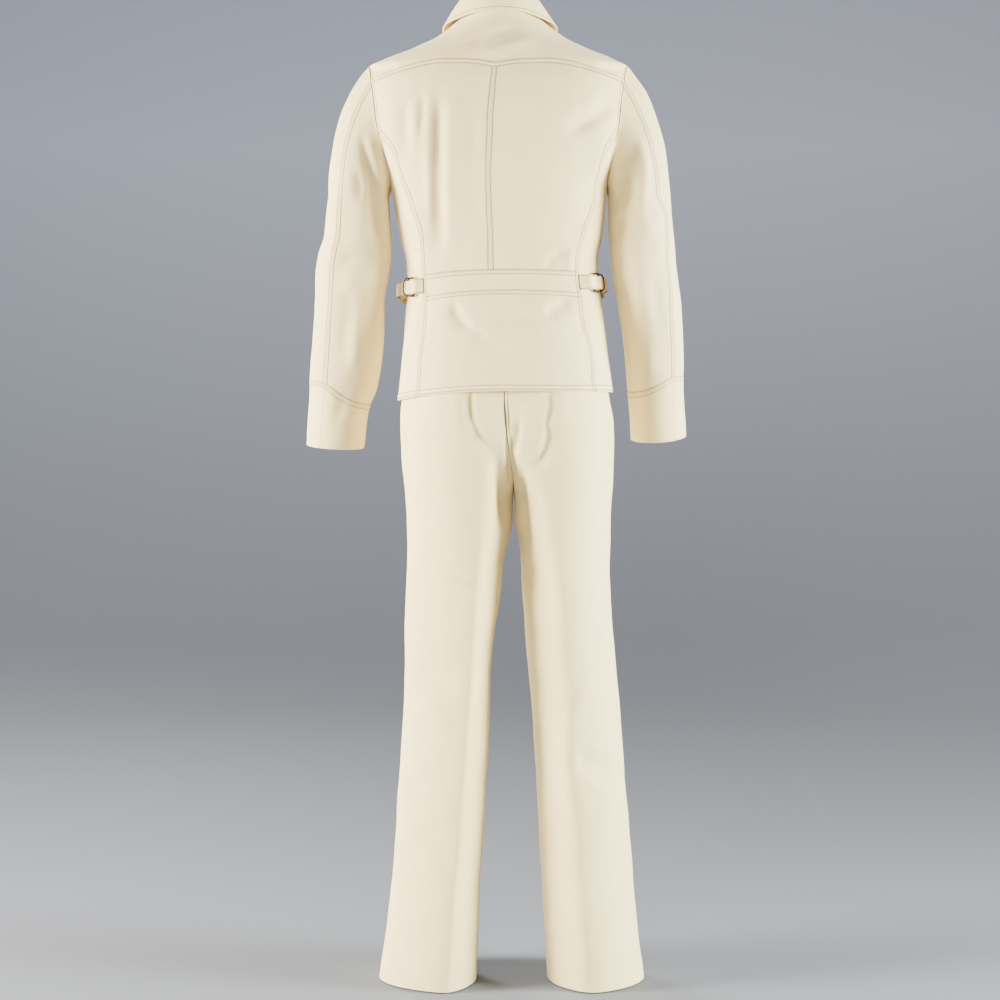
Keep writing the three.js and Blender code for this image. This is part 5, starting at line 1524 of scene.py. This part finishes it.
leg = curves(LEG_CUTS, "z")
rise_seam = curves(RISE_SEAM, "level")
SEAT_STOPS = (-818, -816, -812, -806, -798, -788, -776, -762)  # levels at which the mesh has a line
# How far up and down the inner seam's depth is eased, the levels between which that ends, and the places and
# weights of the levels in its mean.
SEAM_EASE = {"reach": 34, "from": -740, "to": -680}
EASE_PARTS = ((-1, 1 / 9), (-0.5, 2 / 9), (0, 3 / 9), (0.5, 2 / 9), (1, 1 / 9))


def leg_form(side, face):
    """One leg's back or front, by the cut that leaves the side seam at a level. Each half of a cut is a
    quarter of an ellipse, sharpened toward the crease by mixing the cosine with its square. Away from the
    inner seam the cloth takes the seam's depth as a weighted mean over the levels about it, so that the
    crotch is eased in."""
    name = SIDES[side]
    part, seam = ("back", "seat") if face > 0 else ("front", "rise")

    def seam_depth(level):
        return np.where(level > CROTCH_LEVEL, rise_seam[f"{seam}_y"](level), 0)

    def surface(across, level):
        crease = leg[f"{name}_{part}"](level)
        depth = face * leg[part](level)
        angle = np.radians(np.where(across <= 50, across, 100 - across) / 50 * 90)
        aside = mix(np.cos(angle), np.cos(angle) ** 2, leg["crease"](level))
        seam_x = leg[f"{name}_inner"](level) + side * LEG_GAP
        share = (across - 50) / 50
        eased = 1 - smooth(level, SEAM_EASE["from"], SEAM_EASE["to"])
        reach = SEAM_EASE["reach"] * (1 - share * share) * eased
        seam_y = sum(weight * seam_depth(level + at * reach) for at, weight in EASE_PARTS)
        seam_z = np.where(level > CROTCH_LEVEL, rise_seam[f"{seam}_z"](level), level)
        outer = xyz(mix(crease, leg[f"{name}_outer"](level), aside), depth * np.sin(angle), level)
        inner = xyz(mix(crease, seam_x, aside), mix(seam_y, depth, np.sin(angle)),
                    mix(level, seam_z, share * share))
        return np.where((across <= 50)[..., None], outer, inner)

    return surface


def waist_form(way, level):
    """The waist's ring: from the closing round the left front and back, then the right back and front."""
    way, level = np.broadcast_arrays(np.asarray(way, float), np.asarray(level, float))
    parts = [leg_form(1, -1)(100 - way, level), leg_form(1, 1)(way - 100, level),
             leg_form(-1, 1)(300 - way, level), leg_form(-1, -1)(way - 300, level)]
    return np.select([(way <= end)[..., None] for end in (100, 200, 300)], parts[:3], parts[3])


def sew_trousers():
    """Two backs, two fronts and the waistband."""
    def layout(wide, low, high):
        return lambda u, v: np.stack([wide * u, mix(low, high, v)], -1)

    stops = tuple((level - LEG_END) / (WAIST_LEVEL - LEG_END) for level in SEAT_STOPS)
    for side, name in SIDES.items():
        for face, part in ((1, "back"), (-1, "front")):
            sew_panel(f"trouser_{part}_{name}", leg_form(side, face), layout(100, LEG_END, WAIST_LEVEL),
                      (PLAIN,) * 4, TROUSER_FOLDS, flip=side * face < 0, stops_u=(0.5,), stops_v=stops)
    sew_panel("trouser_waistband", waist_form, layout(400, WAIST_LEVEL, WAISTBAND_TOP), (PLAIN,) * 4, step=7,
              wall=DOUBLE_WALL, rumpling=0.3, stops_u=(0.25, 0.5, 0.75))


# ---- Buttons ----

# `crowd` spaces the face's rings of points, and `eye` leaves a small opening in the middle for its cap
FACE = {"low": 0.2, "dish": 0.7, "rim": 1.6, "slope": 4.16, "round": 1.0, "crowd": 1.1, "eye": 0.002,
        "rings": 26, "spokes": 72}
HOLE = {"radius": 1.0, "out": 2.3, "deep": 1.5, "floor": 0.6, "mouth": 1.15}
RIM_STEPS = ((0, 1.0), (0.35, 0.35), (1, 0))  # inward and up from the foot, round the button's lower corner
BUTTON_THREAD = {"radius": 0.26, "apart": 0.45, "arch": 0.75, "low": 0.7, "reach": 0.8,
                 "rings": 9, "sides": 8}
CAP = np.array([[3, 2, 1, 0], [7, 4, 3, 0], [7, 6, 5, 4]])  # the end of an eight-sided thread


def turn_button(name, point, out, gap):
    """A four-holed button: a disc with a round rim, a dished middle, and four pits set out on a square. The
    two lines of its threads are kept for sew_button_threads."""
    radius = BUTTON["radius"]
    floor = BUTTON["thick"] - FACE["low"]
    r = radius * np.sin(np.linspace(FACE["eye"], np.pi / 2, FACE["rings"])) ** FACE["crowd"]
    turn = np.linspace(0, 2 * np.pi, FACE["spokes"], endpoint=False)
    r_all, turn_all = np.meshgrid(r, turn, indexing="ij")
    top = floor - FACE["dish"] * (1 - smooth(r_all, radius - FACE["slope"], radius - FACE["rim"]))
    top = top - smooth(r_all, radius - FACE["round"], radius) ** 2
    x, y = r_all * np.cos(turn_all), r_all * np.sin(turn_all)
    for at in SQUARE:
        away = np.hypot(x - HOLE["out"] * np.cos(at), y - HOLE["out"] * np.sin(at))
        top = top - HOLE["deep"] * (1 - smooth(away / HOLE["radius"], HOLE["floor"], HOLE["mouth"]))
    rim = [(radius - inward, up) for inward, up in RIM_STEPS] + [(FACE["eye"] * radius, 0)]
    low = [np.stack([a * np.cos(turn), a * np.sin(turn), b + 0 * turn], -1) for a, b in rim]
    local = np.concatenate([np.stack([x, y, top], -1), np.stack(low)])
    aside = unit(np.cross(np.array([0, 0, 1.0]), out))
    above = np.cross(out, aside)
    start = point + out * gap
    points = start + local[..., :1] * aside + local[..., 1:2] * above + local[..., 2:] * out
    rows, spokes = points.shape[:2]
    at = np.arange(rows * spokes).reshape(rows, spokes)
    caps = np.array([[0, k, k + 1, k + 2] for k in range(1, spokes - 2, 2)])
    faces = np.concatenate([ring_faces(at)[:, TURNED], caps, caps[:, ::-1] + at[-1, 0]])
    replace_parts(new_mesh(name, points, faces, materials["horn"]), name)
    across = HOLE["out"] * np.cos(np.radians(45))
    reach = np.array([[-1], [1]]) * HOLE["out"] * BUTTON_THREAD["reach"]
    for k in (-1, 1):
        line = start + across * k * aside + reach * above + out * (floor - FACE["dish"])
        button_threads.append((line, out))


button_threads = []


def sew_button_threads():
    """Three threads through each pair of a button's holes, in one piece, arched as the root of a sine."""
    points, faces = [], []
    rings, sides = BUTTON_THREAD["rings"], BUTTON_THREAD["sides"]
    t = np.linspace(0, 1, rings)[:, None]
    height = BUTTON_THREAD["arch"] * np.sin(np.pi * t) ** 0.5 - BUTTON_THREAD["low"]
    turn = np.linspace(0, 2 * np.pi, sides, endpoint=False)[:, None]
    for line, out in button_threads:
        aside = unit(np.cross(line[1] - line[0], out))
        for offset in (-BUTTON_THREAD["apart"], 0.0, BUTTON_THREAD["apart"]):
            middle = mix(line[0], line[1], t) + aside * offset + out * height
            ring = BUTTON_THREAD["radius"] * (aside * np.cos(turn) + out * np.sin(turn))
            at = len(points) * rings * sides + np.arange(rings * sides).reshape(rings, sides)
            faces += [ring_faces(at), at[0][CAP], at[-1][CAP[:, ::-1]]]
            points.append(middle[:, None] + ring)
    new_mesh("button_threads", np.concatenate(points), np.concatenate(faces), materials["thread"])


def sew_buttons():
    """The jacket's five front buttons and the waistband's one."""
    for i in range(BUTTON["count"]):
        place = np.array([-90.0, BUTTON["first"] + BUTTON["pitch"] * i])
        turn_button(f"jacket_button_{i + 1}", body_form(*place), facing(body_form, place), BUTTON["gap"])
    place = np.array([WAIST_BUTTON["way"], (WAIST_LEVEL + WAISTBAND_TOP) / 2])
    turn_button("trouser_waist_button", waist_form(*place), facing(waist_form, place), WAIST_BUTTON["gap"])
    sew_button_threads()


# ---- Floor and light ----

FLOOR = {"inner": 0.4, "flat": 1.2, "curve": 7.0, "rise": 1.25, "below": 0.002, "rings": 50, "spokes": 72}
FLOOR_SHADE = {"low": (0.13, 0.14, 0.16), "from": -1.5, "high": (0.66, 0.7, 0.83), "to": 0.6}


def lay_floor():
    """A wide pale floor just under the lowest hem. It is flat under the suit, and all round it rises in an
    arc of a circle, as a broad bowl does, and grows paler with its height."""
    bend = np.linspace(0, FLOOR["rise"], FLOOR["rings"])
    away = np.concatenate([[FLOOR["inner"]], FLOOR["flat"] + FLOOR["curve"] * np.sin(bend)])[:, None]
    up = np.concatenate([[0.0], FLOOR["curve"] * (1 - np.cos(bend))])[:, None]
    turn = np.linspace(0, 2 * np.pi, FLOOR["spokes"], endpoint=False)
    points = xyz(away * np.cos(turn), away * np.sin(turn), cad_box[0][2] - FLOOR["below"] + up)
    at = np.arange(away.size * turn.size).reshape(away.size, turn.size)
    mesh = bpy.data.meshes.new("floor")
    faces = [at[0].tolist(), *ring_faces(at)[:, ::-1].tolist()]
    mesh.from_pydata(points.reshape(-1, 3).tolist(), [], faces)
    mesh.shade_smooth()
    floor = bpy.data.objects.new("floor", mesh)
    bpy.context.scene.collection.objects.link(floor)
    material, wire, shader = new_material("pale_floor", Roughness=0.9)
    height = wire.node("ShaderNodeSeparateXYZ", None, Vector=wire.space()).outputs["Z"]
    paler = wire.ramp(height, FLOOR_SHADE["from"], FLOOR_SHADE["to"])
    wire.put(shader["Base Color"], wire.blend(paler, FLOOR_SHADE["low"], FLOOR_SHADE["high"]))
    mesh.materials.append(material)


# Each lamp's name, place, size, power, tint and spread.
LIGHTS = (
    ("left", (2.9, 0.75, -0.48), 1.3, 400, (1.0, 0.95, 0.86), 150),
    ("right", (-2.9, 0.75, -0.53), 1.3, 360, (0.97, 1.0, 0.97), 150),
    ("behind", (0.6, 4.1, 0.25), 1.6, 32, (1.0, 0.98, 0.93), 100),
    ("front", (1.9, -2.7, 0.4), 1.6, 75, (1.0, 0.98, 0.96), 100),
)
SUIT_MIDDLE = Vector((0, 0, -0.75))
SURROUND = {"tint": (0.86, 0.92, 1.0, 1.0), "strength": 0.19}


def light_studio():
    """Broad soft lamps round the suit, all turned to its middle, and a pale surround."""
    for name, place, size, power, tint, spread_angle in LIGHTS:
        data = bpy.data.lights.new(name, "AREA")
        data.shape = "DISK"
        data.size = size
        data.energy = power
        data.color = tint
        data.spread = np.radians(spread_angle)
        light = bpy.data.objects.new(name, data)
        light.location = place
        light.rotation_euler = (SUIT_MIDDLE - Vector(place)).to_track_quat("-Z", "Y").to_euler()
        bpy.context.scene.collection.objects.link(light)
    world = bpy.data.worlds.new("surround")
    world.use_nodes = True
    shade = world.node_tree.nodes["Background"].inputs
    shade["Color"].default_value = SURROUND["tint"]
    shade["Strength"].default_value = SURROUND["strength"]
    bpy.context.scene.world = world


# ---- Making ----

sew_back()
for side_sign in SIDES:
    sew_side(side_sign)
for side_sign in SIDES:
    sew_front(side_sign)
sew_collar()
for side_sign in SIDES:
    sew_sleeve(side_sign)
    sew_fastening(side_sign)
sew_trousers()
sew_buttons()
sew_stitches()
lay_floor()
light_studio()
